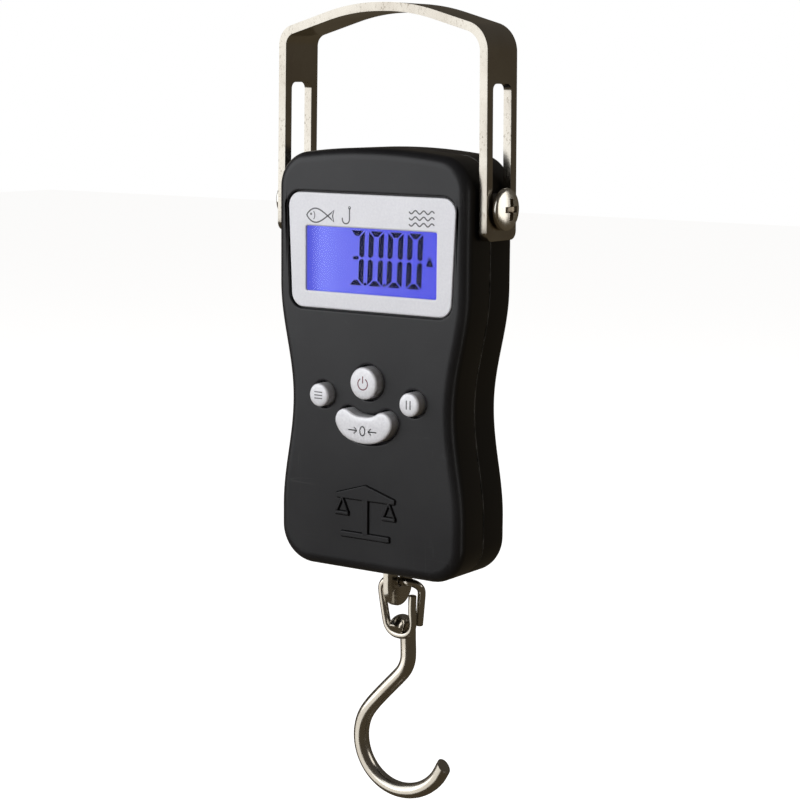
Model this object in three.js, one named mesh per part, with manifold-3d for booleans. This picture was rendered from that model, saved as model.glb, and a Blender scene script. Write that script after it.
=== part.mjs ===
// Digital hanging fish scale: a slotted steel bail, a waisted two-shell case with a
// display and four push buttons, a load cell with a tongue, a lapped wire link and a bent hook.
// Millimetres. X is the width, +Y the back, +Z up. The origin is the underside of the bail's
// arch at its middle, where a hand or a peg carries the scale.
import * as THREE from 'three';
import { mergeVertices } from 'three/addons/utils/BufferGeometryUtils.js';
import Module from 'manifold-3d';

const wasm = await Module();
wasm.setup();

// ---------------------------------------------------------------- driving dimensions
const fit = 0.3;                    // clearance between pieces that seat on or pass each other

// Case. Its own frame has its origin on the axis of the two pivot screws.
const caseWidth = 57.4;
const caseDepth = 21.5;
const caseAbovePivot = 14.1;
const caseBelowPivot = 92.3;
const caseWall = 2;
const caseEdgeRound = 2.8;
const caseTopCrown = 160;           // radius of the slightly arched top
const caseTopCorner = 9;
const caseBottomCorner = 9.5;
const waistInset = 3.98;            // how far each side draws in at the waist
const hipInset = 0.82;              // how far the hips stay inside the full width
const shoulderDrop = 20;            // pivot down to where the side starts to draw in
const waistDrop = 49.5;
const hipDrop = 78;
const partingOffset = -0.4;         // the joint between the shells, from mid depth
const seamLip = 1;                  // thickness of the lip that closes the seam from inside
const seamLipReach = 1.6;
const lipGap = 0.25;                // between the lip and the wall it closes

// Bail
const gripToPivot = 47.2;
const strapThickness = 2.15;
const strapWidth = 13.4;
const strapTail = 7.6;              // strap below the pivot when it is pulled right out
const bailSideGap = 0.6;            // between the case and each leg
const bailSplay = 0.01;             // each leg leans out by this share of its length
const archShoulderRise = 42.1;      // where the arch's slopes start, above the pivot
const archCrownHalf = 8.5;
const archBend = 3.6;
const archCrownBend = 30;
const slotWidth = 8.2;
const slotTop = 29.9;               // top of the slot above the pivot
const slotCorner = 1.6;

// Pivot screws and bushes
const bushDiameter = 7.6;
const screwShank = 4.4;
const screwHead = 10.3;
const screwHeadHeight = 2.4;
const screwInnerEnd = 22.6;         // inner end of the thread, from the middle

// Display
const windowWidth = 39.4;
const windowHeight = 16.3;
const windowDrop = 13.8;            // middle of the window below the pivot
const panelTopHalf = 25.3;
const panelBottomHalf = 24;
const panelTop = 2.7;
const panelBottom = -26.2;
const panelCorner = 3.6;
const panelThickness = 0.6;
const panelPocket = 1.2;
const panelSink = 0.3;              // the panel's face below the case's face

// Buttons
const buttonProud = 2.4;
const buttonDome = 0.7;
const buttonTravel = 0.7;
const buttonFlange = 1.2;
const buttonFlangeThickness = 0.8;
const smallButton = { diameter: 5.9, side: 13.7, drop: 47.9 };
const powerButton = { diameter: 8.1, drop: 43.8 };
const tareButton = { halfWidth: 8.6, top: 50.6, notch: 52.1, bottom: 59 };
const nubDiameter = 2.4;

// Load path
const loadOffset = 3.2;             // the load hangs behind mid depth
const tongueThickness = 1.7;
const tongueWidth = 11;
const linkWire = 2.1;
const linkTop = 96.9;               // middle of the link's top bar below the pivot
const linkBottom = 111.05;
const linkHalf = 5.45;
const hookWire = 4.1;
const bowDrop = 140.4;              // centre of the hook's bow below the pivot
const bowRadius = 12.8;

// Inside
const cellWidth = 24;
const boltHead = 0.8;
const cellTop = 40;
const cellBottom = 78;
const boardHalf = 21.5;
const boardTop = 2.5;
const boardBottom = 61;
const batteryDiameter = 10.5;
const batteryLength = 44.5;
const batteryShift = 1.7;           // each cell sits towards its plate, away from its spring
const firstBatteryDrop = 11.5;
const contactThickness = 0.4;

// ---------------------------------------------------------------- derived places
const halfWidth = caseWidth / 2;
const front = -caseDepth / 2;
const back = caseDepth / 2;
const innerFront = front + caseWall;
const innerBack = back - caseWall;
const partingY = partingOffset;
const crownCentre = caseAbovePivot - caseTopCrown;
const topCornerX = halfWidth - caseTopCorner;
const topCornerZ = crownCentre + Math.sqrt((caseTopCrown - caseTopCorner) ** 2 - topCornerX ** 2);
const legInner = halfWidth + bailSideGap;
const legOuter = legInner + strapThickness;
const flangeFront = innerFront + fit;
const flangeBack = flangeFront + buttonFlangeThickness;
const panelFace = front + panelSink;
const pocketFloor = front + panelPocket;
const lensFront = pocketFloor + 0.05;
const lensBack = lensFront + 0.6;
const glassFront = lensBack + fit;
const glassBack = glassFront + 1.5;
const backlightFront = glassBack + fit;
const backlightBack = backlightFront + 1.6;
const boardFront = backlightBack + fit;
const boardBack = boardFront + 1.4;
const hangerFront = boardBack + fit;
const hangerBack = hangerFront + 1;
const batteryY = hangerBack + fit + batteryDiameter / 2;
const batteryRows = [firstBatteryDrop, firstBatteryDrop + batteryDiameter + 0.8];
const bay = {
  half: batteryLength / 2 + 0.75,
  top: batteryRows[0] - batteryDiameter / 2 - 0.35,
  bottom: batteryRows[1] + batteryDiameter / 2 + 0.25,
};
const contactInner = batteryLength / 2 + batteryShift + fit;
const stopInner = contactInner + contactThickness + 0.25;
const cellFront = hangerBack + fit;
const cellBack = innerBack - boltHead - 2 * fit;
const tongueFront = loadOffset - tongueWidth / 2 - 0.2;
const tongueBack = tongueFront + tongueWidth;

// ---------------------------------------------------------------- solids and placing
const axisX = new THREE.Vector3(1, 0, 0);
const axisY = new THREE.Vector3(0, 1, 0);
const axisZ = new THREE.Vector3(0, 0, 1);
const uprightTurn = new THREE.Matrix4().makeBasis(axisX, axisZ, axisY.clone().negate());
const sidewaysTurn = new THREE.Matrix4().makeBasis(axisY, axisZ, axisX);

function toSolid(geometry) {
  const bare = geometry.clone();
  bare.deleteAttribute('normal');
  bare.deleteAttribute('uv');
  const merged = mergeVertices(bare, 1e-4);
  const index = merged.index.array;
  const triVerts = [];
  for (let i = 0; i < index.length; i += 3) {
    const [a, b, c] = [index[i], index[i + 1], index[i + 2]];
    if (a !== b && b !== c && c !== a) triVerts.push(a, b, c);
  }
  return new wasm.Manifold(new wasm.Mesh({
    numProp: 3,
    vertProperties: new Float32Array(merged.attributes.position.array),
    triVerts: new Uint32Array(triVerts),
  }));
}

function toGeometry(solid) {
  const mesh = solid.getMesh();
  const geometry = new THREE.BufferGeometry();
  geometry.setAttribute('position', new THREE.BufferAttribute(mesh.vertProperties, 3));
  geometry.setIndex(new THREE.BufferAttribute(mesh.triVerts, 1));
  geometry.computeVertexNormals();
  return geometry;
}

const join = (first, ...others) => others.reduce((sum, piece) => sum.add(piece), first);
const cut = (first, ...tools) => tools.reduce((rest, tool) => rest.subtract(tool), first);

// A box between two corners.
function block([x0, y0, z0], [x1, y1, z1]) {
  const geometry = new THREE.BoxGeometry(x1 - x0, y1 - y0, z1 - z0);
  geometry.translate((x0 + x1) / 2, (y0 + y1) / 2, (z0 + z1) / 2);
  return toSolid(geometry);
}

// A box on one side of the middle plane: side is 1 or -1 and x runs outwards from the middle.
function sideBlock(side, [x0, y0, z0], [x1, y1, z1]) {
  return side > 0 ? block([x0, y0, z0], [x1, y1, z1]) : block([-x1, y0, z0], [-x0, y1, z1]);
}

// A round bar along x or y between two places on that axis; centre gives the other two.
function rod(axis, radius, from, to, [u, v], sides = 24) {
  const geometry = new THREE.CylinderGeometry(radius, radius, to - from, sides);
  const middle = (from + to) / 2;
  if (axis === 'x') {
    geometry.rotateZ(-Math.PI / 2);
    geometry.translate(middle, u, v);
  } else {
    geometry.translate(u, middle, v);
  }
  return toSolid(geometry);
}

// A turned piece: profile is [radius, distance along the axis], starting and ending on the axis.
function turned(axis, profile, sides = 28) {
  const points = profile.map(([radius, along]) => new THREE.Vector2(radius, along));
  const geometry = new THREE.LatheGeometry(points, sides);
  if (axis === 'x') geometry.rotateZ(-Math.PI / 2);
  return toSolid(geometry);
}

// A flat outline in x and z, thick from y0 to y1, with both rims rounded when round is given.
function slab(shape, y0, y1, round = 0, roundSteps = 3) {
  const geometry = new THREE.ExtrudeGeometry(shape, {
    depth: y1 - y0 - 2 * round,
    bevelEnabled: round > 0,
    bevelSize: round,
    bevelThickness: round,
    bevelOffset: -round,
    bevelSegments: roundSteps,
    curveSegments: 5,
  });
  geometry.applyMatrix4(uprightTurn);
  geometry.translate(0, y1 - round, 0);
  return toSolid(geometry);
}

// A flat outline in y and z, thick from x0 to x1.
function cheek(shape, x0, x1, curveSegments = 6) {
  const geometry = new THREE.ExtrudeGeometry(shape, {
    depth: x1 - x0, bevelEnabled: false, curveSegments,
  });
  geometry.applyMatrix4(sidewaysTurn);
  geometry.translate(x0, 0, 0);
  return toSolid(geometry);
}

// A round wire along a smooth curve through points.
function wire(points, diameter, steps, sides = 10) {
  const section = new THREE.Shape();
  section.absarc(0, 0, diameter / 2, 0, Math.PI * 2, false);
  const curve = new THREE.CatmullRomCurve3(points, false, 'centripetal');
  const geometry = new THREE.ExtrudeGeometry(section, {
    steps, extrudePath: curve, bevelEnabled: false, curveSegments: sides,
  });
  return toSolid(geometry);
}

// ---------------------------------------------------------------- outlines
// Rounds each corner of a polyline given as [u, v, radius].
function roundedPoints(corners, closed, stepsPerCorner = 5) {
  const points = [];
  const count = corners.length;
  corners.forEach(([u, v, radius], i) => {
    const here = new THREE.Vector2(u, v);
    if (!radius || (!closed && (i === 0 || i === count - 1))) {
      points.push(here);
      return;
    }
    const before = new THREE.Vector2(...corners[(i - 1 + count) % count]).sub(here).normalize();
    const after = new THREE.Vector2(...corners[(i + 1) % count]).sub(here).normalize();
    const half = Math.acos(THREE.MathUtils.clamp(before.dot(after), -1, 1)) / 2;
    const centre = here.clone().add(
      before.clone().add(after).normalize().multiplyScalar(radius / Math.sin(half)));
    const start = here.clone().addScaledVector(before, radius / Math.tan(half)).sub(centre);
    const end = here.clone().addScaledVector(after, radius / Math.tan(half)).sub(centre);
    const turn = Math.atan2(start.cross(end), start.dot(end));
    for (let k = 0; k <= stepsPerCorner; k += 1) {
      const spoke = start.clone().rotateAround(new THREE.Vector2(), turn * k / stepsPerCorner);
      points.push(spoke.add(centre));
    }
  });
  return points;
}

const roundedShape = (corners, steps) => new THREE.Shape(roundedPoints(corners, true, steps));

function rectangle(halfX, low, high, radius, steps = 4) {
  return roundedShape([
    [-halfX, low, radius], [halfX, low, radius], [halfX, high, radius], [-halfX, high, radius],
  ], steps);
}

const ease = (t) => (1 - Math.cos(Math.PI * THREE.MathUtils.clamp(t, 0, 1))) / 2;

// Half width of the case at a height below the pivot: straight shoulders, waist, hips.
function caseHalf(drop) {
  const draw = ease((drop - shoulderDrop) / (waistDrop - shoulderDrop));
  const flare = ease((drop - waistDrop) / (hipDrop - waistDrop));
  return halfWidth - waistInset * draw + (waistInset - hipInset) * flare;
}

// Outline of the case, drawn in by inset all round, right side first and then mirrored.
function caseShape(inset = 0) {
  const right = [];
  const crown = caseTopCrown - inset;
  const corner = caseTopCorner - inset;
  const lean = Math.atan2(topCornerX, topCornerZ - crownCentre);
  for (let k = 1; k <= 2; k += 1) {
    const angle = lean * k / 3;
    right.push([crown * Math.sin(angle), crownCentre + crown * Math.cos(angle)]);
  }
  for (let k = 0; k <= 5; k += 1) {
    const angle = (Math.PI / 2 - lean) * (1 - k / 5);
    right.push([topCornerX + corner * Math.cos(angle), topCornerZ + corner * Math.sin(angle)]);
  }
  const lowCorner = caseBottomCorner - inset;
  const lowX = caseHalf(hipDrop) - caseBottomCorner;
  const lowZ = -caseBelowPivot + caseBottomCorner;
  for (let k = 0; k <= 13; k += 1) {
    const drop = THREE.MathUtils.lerp(shoulderDrop, hipDrop, k / 13);
    right.push([caseHalf(drop) - inset, -drop]);
  }
  for (let k = 0; k <= 5; k += 1) {
    const angle = -Math.PI / 2 * k / 5;
    right.push([lowX + lowCorner * Math.cos(angle), lowZ + lowCorner * Math.sin(angle)]);
  }
  const left = right.map(([x, z]) => [-x, z]).reverse();
  const points = [[0, caseAbovePivot - inset], ...right, ...left];
  return new THREE.Shape(points.map(([x, z]) => new THREE.Vector2(x, z)).reverse());
}

// ---------------------------------------------------------------- materials and nodes
function material(colour, roughness, metalness, more = {}) {
  return new THREE.MeshStandardMaterial({ color: colour, roughness, metalness, ...more });
}

const looks = {
  caseBlack: material(0x1b1b1e, 0.45, 0),
  nickel: material(0xb9b4a8, 0.22, 1),
  steel: material(0x9b9a97, 0.35, 1),
  panelSilver: material(0xd7d7dd, 0.4, 0.1),
  buttonSilver: material(0xc9c9ce, 0.3, 0.5),
  lens: material(0xe8ecf5, 0.05, 0, { transparent: true, opacity: 0.3 }),
  display: material(0x5a5fe6, 0.2, 0, { emissive: 0x3a3fd0 }),
  backlight: material(0xe9ecff, 0.4, 0),
  rubber: material(0x3a3a3d, 0.8, 0),
  board: material(0x1f5b34, 0.5, 0),
  chip: material(0x141416, 0.5, 0),
  aluminium: material(0xbfc2c4, 0.4, 1),
  gauge: material(0xc98b3a, 0.5, 0),
  battery: material(0x6d7178, 0.35, 0.2),
  contact: material(0xd0c9b0, 0.3, 1),
  label: material(0xe6e6e2, 0.6, 0),
  leadRed: material(0xa8281f, 0.5, 0),
  leadBlack: material(0x17171a, 0.5, 0),
};

const scale = new THREE.Group();
const bail = new THREE.Group();
const caseBody = new THREE.Group();
caseBody.position.z = -gripToPivot;
bail.position.z = -gripToPivot;
scale.add(bail, caseBody);

function node(parent, name, look, solid, [x, y, z] = [0, 0, 0]) {
  const mesh = new THREE.Mesh(toGeometry(solid), looks[look]);
  mesh.name = name;
  mesh.position.set(x, y, z);
  parent.add(mesh);
  return mesh;
}

// ---------------------------------------------------------------- bail
const legInnerAt = (z) => legInner - bailSplay * z;

// Middle line of the strap from the right tail over the arch to the left tail, then thickened.
function bailShape() {
  const middle = strapThickness / 2;
  const shoulder = archShoulderRise + middle;
  const tail = [legInnerAt(-strapTail) + middle, -strapTail];
  const crown = gripToPivot + middle;
  const slope = (crown - shoulder) / (legInner - archCrownHalf - archBend);
  const elbow = [legInnerAt(shoulder) + middle, shoulder - slope * archBend, archBend];
  const crownEnd = [archCrownHalf, crown, archCrownBend];
  const mirror = ([x, z, radius]) => [-x, z, radius];
  const line = roundedPoints(
    [tail, elbow, crownEnd, mirror(crownEnd), mirror(elbow), mirror(tail)], false, 6);
  const side = (offset) => line.map((point, i) => {
    const ahead = line[Math.min(i + 1, line.length - 1)];
    const behind = line[Math.max(i - 1, 0)];
    const along = ahead.clone().sub(behind).normalize();
    return new THREE.Vector2(point.x + along.y * offset, point.y - along.x * offset);
  });
  return new THREE.Shape([...side(middle), ...side(-middle).reverse()]);
}

function bailSlot(side) {
  const half = slotWidth / 2;
  const shape = new THREE.Shape();
  shape.moveTo(-half, 0);
  shape.absarc(0, 0, half, Math.PI, Math.PI * 2, false);
  shape.lineTo(half, slotTop - slotCorner);
  shape.absarc(half - slotCorner, slotTop - slotCorner, slotCorner, 0, Math.PI / 2, false);
  shape.absarc(-half + slotCorner, slotTop - slotCorner, slotCorner, Math.PI / 2, Math.PI, false);
  const near = legInner - 2;
  const far = legOuter + 2;
  return side > 0 ? cheek(shape, near, far, 8) : cheek(shape, -far, -near, 8);
}

// The tails' lower corners are rounded by trimming with a matching outline seen from the side.
function bailTailTrim() {
  const half = strapWidth / 2;
  const shape = roundedShape([
    [-half, -strapTail, 2.2], [half, -strapTail, 2.2],
    [half, gripToPivot + strapThickness + 1, 0], [-half, gripToPivot + strapThickness + 1, 0],
  ], 4);
  return cheek(shape, -legOuter - 3, legOuter + 3);
}

node(bail, 'bail_strap', 'nickel', cut(
  slab(bailShape(), -strapWidth / 2, strapWidth / 2).intersect(bailTailTrim()),
  bailSlot(1), bailSlot(-1)));

// ---------------------------------------------------------------- pivot bushes and screws
const bushStart = halfWidth + fit;
const bushEnd = legOuter + fit;
const headStart = bushEnd + fit;

for (const [side, name] of [[-1, 'left'], [1, 'right']]) {
  const bore = screwShank / 2 + fit;
  const ring = cut(
    rod('x', bushDiameter / 2, bushStart, bushEnd, [0, 0], 28),
    rod('x', bore, bushStart - 1, bushEnd + 1, [0, 0], 20));
  const bush = node(bail, `${name}_bush`, 'steel', ring);
  bush.rotation.z = side < 0 ? Math.PI : 0;
}

// A pan-head screw along +x with a cross recess.
function pivotScrew() {
  const head = screwHead / 2;
  const top = headStart + screwHeadHeight;
  const profile = [
    [0, screwInnerEnd], [screwShank / 2 - 0.4, screwInnerEnd],
    [screwShank / 2, screwInnerEnd + 0.6], [screwShank / 2, headStart],
    [head - 0.3, headStart], [head, headStart + 0.35], [head, headStart + 0.9],
    [head * 0.84, top - 0.72], [head * 0.5, top - 0.17], [0, top],
  ];
  const arm = (long, wide) => block(
    [top - 1.3, -wide / 2, -long / 2], [top + 1, wide / 2, long / 2]);
  return cut(turned('x', profile, 24), arm(4.6, 1), arm(1, 4.6));
}

for (const [side, name] of [[-1, 'left'], [1, 'right']]) {
  const screw = node(caseBody, `${name}_pivot_screw`, 'nickel', pivotScrew());
  screw.rotation.z = side < 0 ? Math.PI : 0;
}

// ---------------------------------------------------------------- case shells
const wholeCase = slab(caseShape(), front, back, caseEdgeRound);
const wholeHollow = slab(caseShape(caseWall), innerFront, innerBack, caseEdgeRound - caseWall, 1);
const caseLow = -caseBelowPivot - 5;
const caseHigh = caseAbovePivot + 5;
const frontHalf = block([-60, front - 1, caseLow], [60, partingY - fit / 2, caseHigh]);
const rearHalf = block([-60, partingY + fit / 2, caseLow], [60, back + 1, caseHigh]);

const caseScrewSpots = [[-17.5, 8.2], [17.5, 8.2], [-19, -84.6], [19, -84.6]];
const boardScrewSpots = [[-18.6, -31], [18.6, -31], [-18.6, -57.6], [18.6, -57.6]];
const windowTop = -windowDrop + windowHeight / 2;
const windowBottom = -windowDrop - windowHeight / 2;

const panelShape = (grow) => roundedShape([
  [-panelBottomHalf - grow, panelBottom - grow, panelCorner + grow],
  [panelBottomHalf + grow, panelBottom - grow, panelCorner + grow],
  [panelTopHalf + grow, panelTop + grow, panelCorner + grow],
  [-panelTopHalf - grow, panelTop + grow, panelCorner + grow],
], 5);

// The kidney outline of the tare button, grown all round by a clearance.
function tareShape(grow) {
  const { halfWidth: half, top, notch, bottom } = tareButton;
  const lobe = 2.9 + grow;
  const lobeX = half - 2.9;
  const lobeZ = -top - 2.9;
  const shape = new THREE.Shape();
  const dip = new THREE.Vector2(0, -notch + grow);
  const chin = new THREE.Vector2(0, -bottom - grow);
  const shoulderAngle = THREE.MathUtils.degToRad(62);
  const inside = [lobeX - lobe * Math.cos(shoulderAngle), lobeZ + lobe * Math.sin(shoulderAngle)];
  const hip = [lobeX + lobe * Math.cos(0.5), lobeZ - lobe * Math.sin(0.5)];
  shape.moveTo(chin.x, chin.y);
  shape.quadraticCurveTo(hip[0] - 1.9, chin.y + 0.15, hip[0], hip[1]);
  shape.absarc(lobeX, lobeZ, lobe, -0.5, Math.PI - shoulderAngle, false);
  shape.quadraticCurveTo(inside[0] * 0.55, dip.y - 0.2, dip.x, dip.y);
  shape.quadraticCurveTo(-inside[0] * 0.55, dip.y - 0.2, -inside[0], inside[1]);
  shape.absarc(-lobeX, lobeZ, lobe, shoulderAngle, Math.PI + 0.5, false);
  shape.quadraticCurveTo(-hip[0] + 1.9, chin.y + 0.15, chin.x, chin.y);
  return shape;
}

// A raised line of the moulded balance mark, between two places on the front face.
const markRaise = 0.4;
function markLine([x0, z0], [x1, z1], wide = 0.7) {
  const long = Math.hypot(x1 - x0, z1 - z0);
  const geometry = new THREE.BoxGeometry(long + wide, markRaise + 0.4, wide);
  geometry.rotateY(-Math.atan2(z1 - z0, x1 - x0));
  geometry.translate((x0 + x1) / 2, front + 0.2 - markRaise / 2, (z0 + z1) / 2);
  return toSolid(geometry);
}

function balanceMark() {
  const lines = [
    markLine([-9, -73], [0, -70.2]),
    markLine([0, -70.2], [9, -73]),
    markLine([-9, -73], [9, -73]),
    markLine([0, -73.4], [0, -82.4], 1.2),
    markLine([-7.3, -82.9], [7.3, -82.9], 1.5),
  ];
  for (const side of [-1, 1]) {
    lines.push(markLine([side * 7.4, -73.4], [side * 9.5, -78.2], 0.6));
    lines.push(markLine([side * 7.4, -73.4], [side * 5.2, -78.2], 0.6));
    lines.push(markLine([side * 4.9, -78.5], [side * 9.8, -78.5], 1));
  }
  return lines;
}

const roundHole = (radius, x, z) => rod('y', radius, front - 1, innerFront + 1, [x, z], 24);

function buttonHoles() {
  const small = smallButton.diameter / 2 + fit;
  return [
    roundHole(small, -smallButton.side, -smallButton.drop),
    roundHole(small, smallButton.side, -smallButton.drop),
    roundHole(powerButton.diameter / 2 + fit, 0, -powerButton.drop),
    slab(tareShape(fit), front - 1, innerFront + 1),
  ];
}

const pivotHole = rod('x', screwShank / 2 + fit, -60, 60, [0, 0], 20);
const tongueSlot = block(
  [-tongueThickness / 2 - 0.6, tongueFront - 0.6, -caseBelowPivot - 1],
  [tongueThickness / 2 + 0.6, tongueBack + 0.6, -caseBelowPivot + caseWall + 4]);

function frontShell() {
  const walls = cut(wholeCase.intersect(frontHalf), wholeHollow);
  const bossEnd = partingY - fit / 2;
  const bosses = caseScrewSpots.map(([x, z]) => cut(
    rod('y', 2.6, innerFront - 0.5, bossEnd, [x, z], 10),
    rod('y', 1.4, innerFront + 1.5, bossEnd + 1, [x, z], 8)));
  const posts = boardScrewSpots.map(([x, z]) => cut(
    rod('y', 2, innerFront - 0.5, boardFront - fit, [x, z], 10),
    rod('y', 1.2, innerFront + 1, boardFront + 1, [x, z], 8)));
  const lineRidge = slab(rectangle(27.5, -28.4, -27.9, 0.2, 1), innerFront - 0.3, innerFront + 0.5);
  const shell = join(walls, ...bosses.map((boss) => boss.intersect(wholeCase)), ...posts,
    lineRidge.intersect(wholeHollow), ...balanceMark());
  return cut(shell,
    slab(panelShape(0.35), front - 1, pocketFloor),
    slab(rectangle(windowWidth / 2 + 0.8, windowBottom - 0.8, windowTop + 0.8, 0.8),
      front - 1, innerFront + 1),
    ...buttonHoles(), pivotHole, tongueSlot);
}

const coverRim = 1.5;
const coverShelf = back - 1.2;
const labelTop = 36;
const labelBottom = 58;
const labelHalf = 17;

function rearShell() {
  const walls = cut(wholeCase.intersect(rearHalf), wholeHollow);
  const lip = cut(
    slab(caseShape(caseWall + lipGap), partingY - seamLipReach, partingY + 3),
    slab(caseShape(caseWall + lipGap + seamLip), partingY - seamLipReach - 1, partingY + 4));
  const lipRoot = cut(
    slab(caseShape(caseWall - 0.4), partingY + 0.8, partingY + 3),
    slab(caseShape(caseWall + lipGap + seamLip), partingY, partingY + 4));
  const bosses = caseScrewSpots.map(([x, z]) => rod(
    'y', 3.3, partingY + fit / 2, innerBack + 0.5, [x, z], 12).intersect(wholeCase));
  const stops = [-1, 1].map((side) => sideBlock(side,
    [stopInner, 0.6, -bay.bottom - 0.7], [halfWidth - caseWall + 0.6, innerBack + 0.4, -bay.top - 0.3]));
  const cradles = [-1, 1].map((side) => sideBlock(side,
    [cellWidth / 2 + 0.4, 1, -cellBottom + 2], [cellWidth / 2 + 1.6, innerBack + 0.4, -cellTop - 4]));
  let shell = join(walls, lip, lipRoot, ...bosses, ...stops, ...cradles);
  shell = cut(shell,
    ...caseScrewSpots.map(([x, z]) => rod('y', 3.05, partingY - 4, partingY + fit / 2, [x, z], 12)),
    ...caseScrewSpots.map(([x, z]) => rod('y', 2.65, partingY + 2.6, back + 1, [x, z], 16)),
    ...caseScrewSpots.map(([x, z]) => rod('y', 1.5, partingY - 1, partingY + 3, [x, z], 8)));
  return cut(shell,
    slab(rectangle(bay.half + coverRim, -bay.bottom - coverRim, -bay.top + coverRim, 2),
      coverShelf, back + 1),
    slab(rectangle(bay.half, -bay.bottom, -bay.top, 1.2), innerBack - 1, back + 1),
    slab(rectangle(labelHalf + fit, -labelBottom - fit, -labelTop + fit, 1.5), back - 0.6, back + 1),
    pivotHole, tongueSlot);
}

node(caseBody, 'front_shell', 'caseBlack', frontShell());
node(caseBody, 'rear_shell', 'caseBlack', rearShell());

function batteryCover() {
  const grow = coverRim - fit;
  const plate = slab(
    rectangle(bay.half + grow, -bay.bottom - grow, -bay.top + grow, 1.8),
    coverShelf + fit, back);
  const ridges = [0, 1, 2].map((k) => slab(
    rectangle(6, -26.6 + 1.8 * k, -25.8 + 1.8 * k, 0.3, 2), back - 0.3, back + 0.4));
  return join(plate, ...ridges);
}

node(caseBody, 'battery_cover', 'caseBlack', batteryCover());
node(caseBody, 'rear_label', 'label',
  slab(rectangle(labelHalf, -labelBottom, -labelTop, 1.3), back - 0.3, back - 0.05));

caseScrewSpots.forEach(([x, z], i) => {
  const headY = partingY + 2.6 + fit;
  const shank = rod('y', 1.05, innerFront + 2, headY + 0.4, [x, z], 8);
  const head = rod('y', 2.3, headY, headY + 1.6, [x, z], 14);
  const drive = block([x - 0.35, headY + 0.8, z - 1.4], [x + 0.35, headY + 2, z + 1.4]);
  const cross = block([x - 1.4, headY + 0.8, z - 0.35], [x + 1.4, headY + 2, z + 0.35]);
  node(caseBody, `case_screw_${i + 1}`, 'steel', cut(join(shank, head), drive, cross));
});

// ---------------------------------------------------------------- display
node(caseBody, 'display_panel', 'panelSilver', cut(
  slab(panelShape(0), panelFace, panelFace + panelThickness),
  slab(rectangle(windowWidth / 2, windowBottom, windowTop, 0.5),
    panelFace - 1, panelFace + panelThickness + 1)));
node(caseBody, 'display_lens', 'lens',
  slab(rectangle(windowWidth / 2 + 0.5, windowBottom - 0.5, windowTop + 0.5, 0.6),
    lensFront, lensBack));
const glassHalf = 21.2;
const glassTop = windowTop + 3.2;
const glassBottom = windowBottom - 3.2;
node(caseBody, 'lcd_glass', 'display',
  block([-glassHalf, glassFront, glassBottom], [glassHalf, glassBack, glassTop]));
node(caseBody, 'backlight', 'backlight',
  block([-glassHalf, backlightFront, glassBottom + 2.1], [glassHalf, backlightBack, glassTop - 2.1]));
for (const [name, z] of [['upper', glassTop - 0.9], ['lower', glassBottom + 0.9]]) {
  node(caseBody, `${name}_zebra_strip`, 'rubber',
    block([-20, glassBack + fit, z - 0.8], [20, boardFront - fit, z + 0.8]));
}

// ---------------------------------------------------------------- board and what it carries
function mainBoard() {
  const shape = rectangle(boardHalf, -boardBottom, -boardTop, 1.5);
  const holes = boardScrewSpots.map(([x, z]) => rod('y', 1.2, boardFront - 1, boardBack + 1, [x, z], 8));
  return cut(slab(shape, boardFront, boardBack), ...holes);
}
node(caseBody, 'main_board', 'board', mainBoard());

boardScrewSpots.forEach(([x, z], i) => {
  const shank = rod('y', 0.85, innerFront + 1.5, boardBack + 1, [x, z], 8);
  const head = rod('y', 1.8, boardBack + 0.1, boardBack + 1.1, [x, z], 10);
  node(caseBody, `board_screw_${i + 1}`, 'steel', join(shank, head));
});

node(caseBody, 'controller_chip', 'chip',
  block([-17, boardBack + 0.1, -47], [-9, boardBack + 1.4, -39]));
const waistRoom = caseHalf(waistDrop) - caseWall - lipGap - seamLip - cellWidth / 2;
const buzzerRadius = Math.min(4.2, waistRoom / 2 - 0.53);
const buzzerSpot = [cellWidth / 2 + 0.8 + buzzerRadius, -51.5];
node(caseBody, 'buzzer', 'chip',
  cut(rod('y', buzzerRadius, boardBack + 0.1, boardBack + 3.6, buzzerSpot, 20),
    rod('y', 0.8, boardBack + 2.6, boardBack + 4, buzzerSpot, 10)));

const buttonSpots = {
  set: [-smallButton.side, -smallButton.drop],
  hold: [smallButton.side, -smallButton.drop],
  power: [0, -powerButton.drop],
  tare: [0, -(tareButton.notch + tareButton.bottom) / 2],
};
const switchTop = flangeBack + buttonTravel + 0.25;
const nubEnd = switchTop - 0.15;

for (const [name, [x, z]] of Object.entries(buttonSpots)) {
  const half = name === 'tare' || name === 'power' ? 2.6 : 3;
  const body = block([x - half, switchTop, z - half], [x + half, boardFront - 0.05, z + half]);
  const well = rod('y', nubDiameter / 2 + fit, switchTop - 1, switchTop + 1.2, [x, z], 14);
  node(caseBody, `${name}_switch`, 'chip', cut(body, well));
}

// ---------------------------------------------------------------- push buttons
function roundButton(diameter, [x, z]) {
  const radius = diameter / 2;
  const face = front - buttonProud;
  const profile = [
    [0, face], [radius * 0.55, face + 0.1], [radius * 0.85, face + buttonDome * 0.45],
    [radius, face + buttonDome], [radius, flangeFront], [radius + buttonFlange, flangeFront],
    [radius + buttonFlange, flangeBack], [nubDiameter / 2, flangeBack],
    [nubDiameter / 2, nubEnd], [0, nubEnd],
  ];
  return turned('y', profile, 24).translate([x, 0, z]);
}

function tareCap([x, z]) {
  const face = front - buttonProud;
  const cap = slab(tareShape(0), face, flangeFront + 2, buttonDome, 2)
    .intersect(block([-20, face - 1, -70], [20, flangeFront + 0.2, -40]));
  const flange = slab(tareShape(0.9), flangeFront, flangeBack);
  return join(cap, flange, rod('y', nubDiameter / 2, flangeBack - 0.3, nubEnd, [x, z], 14));
}

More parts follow.
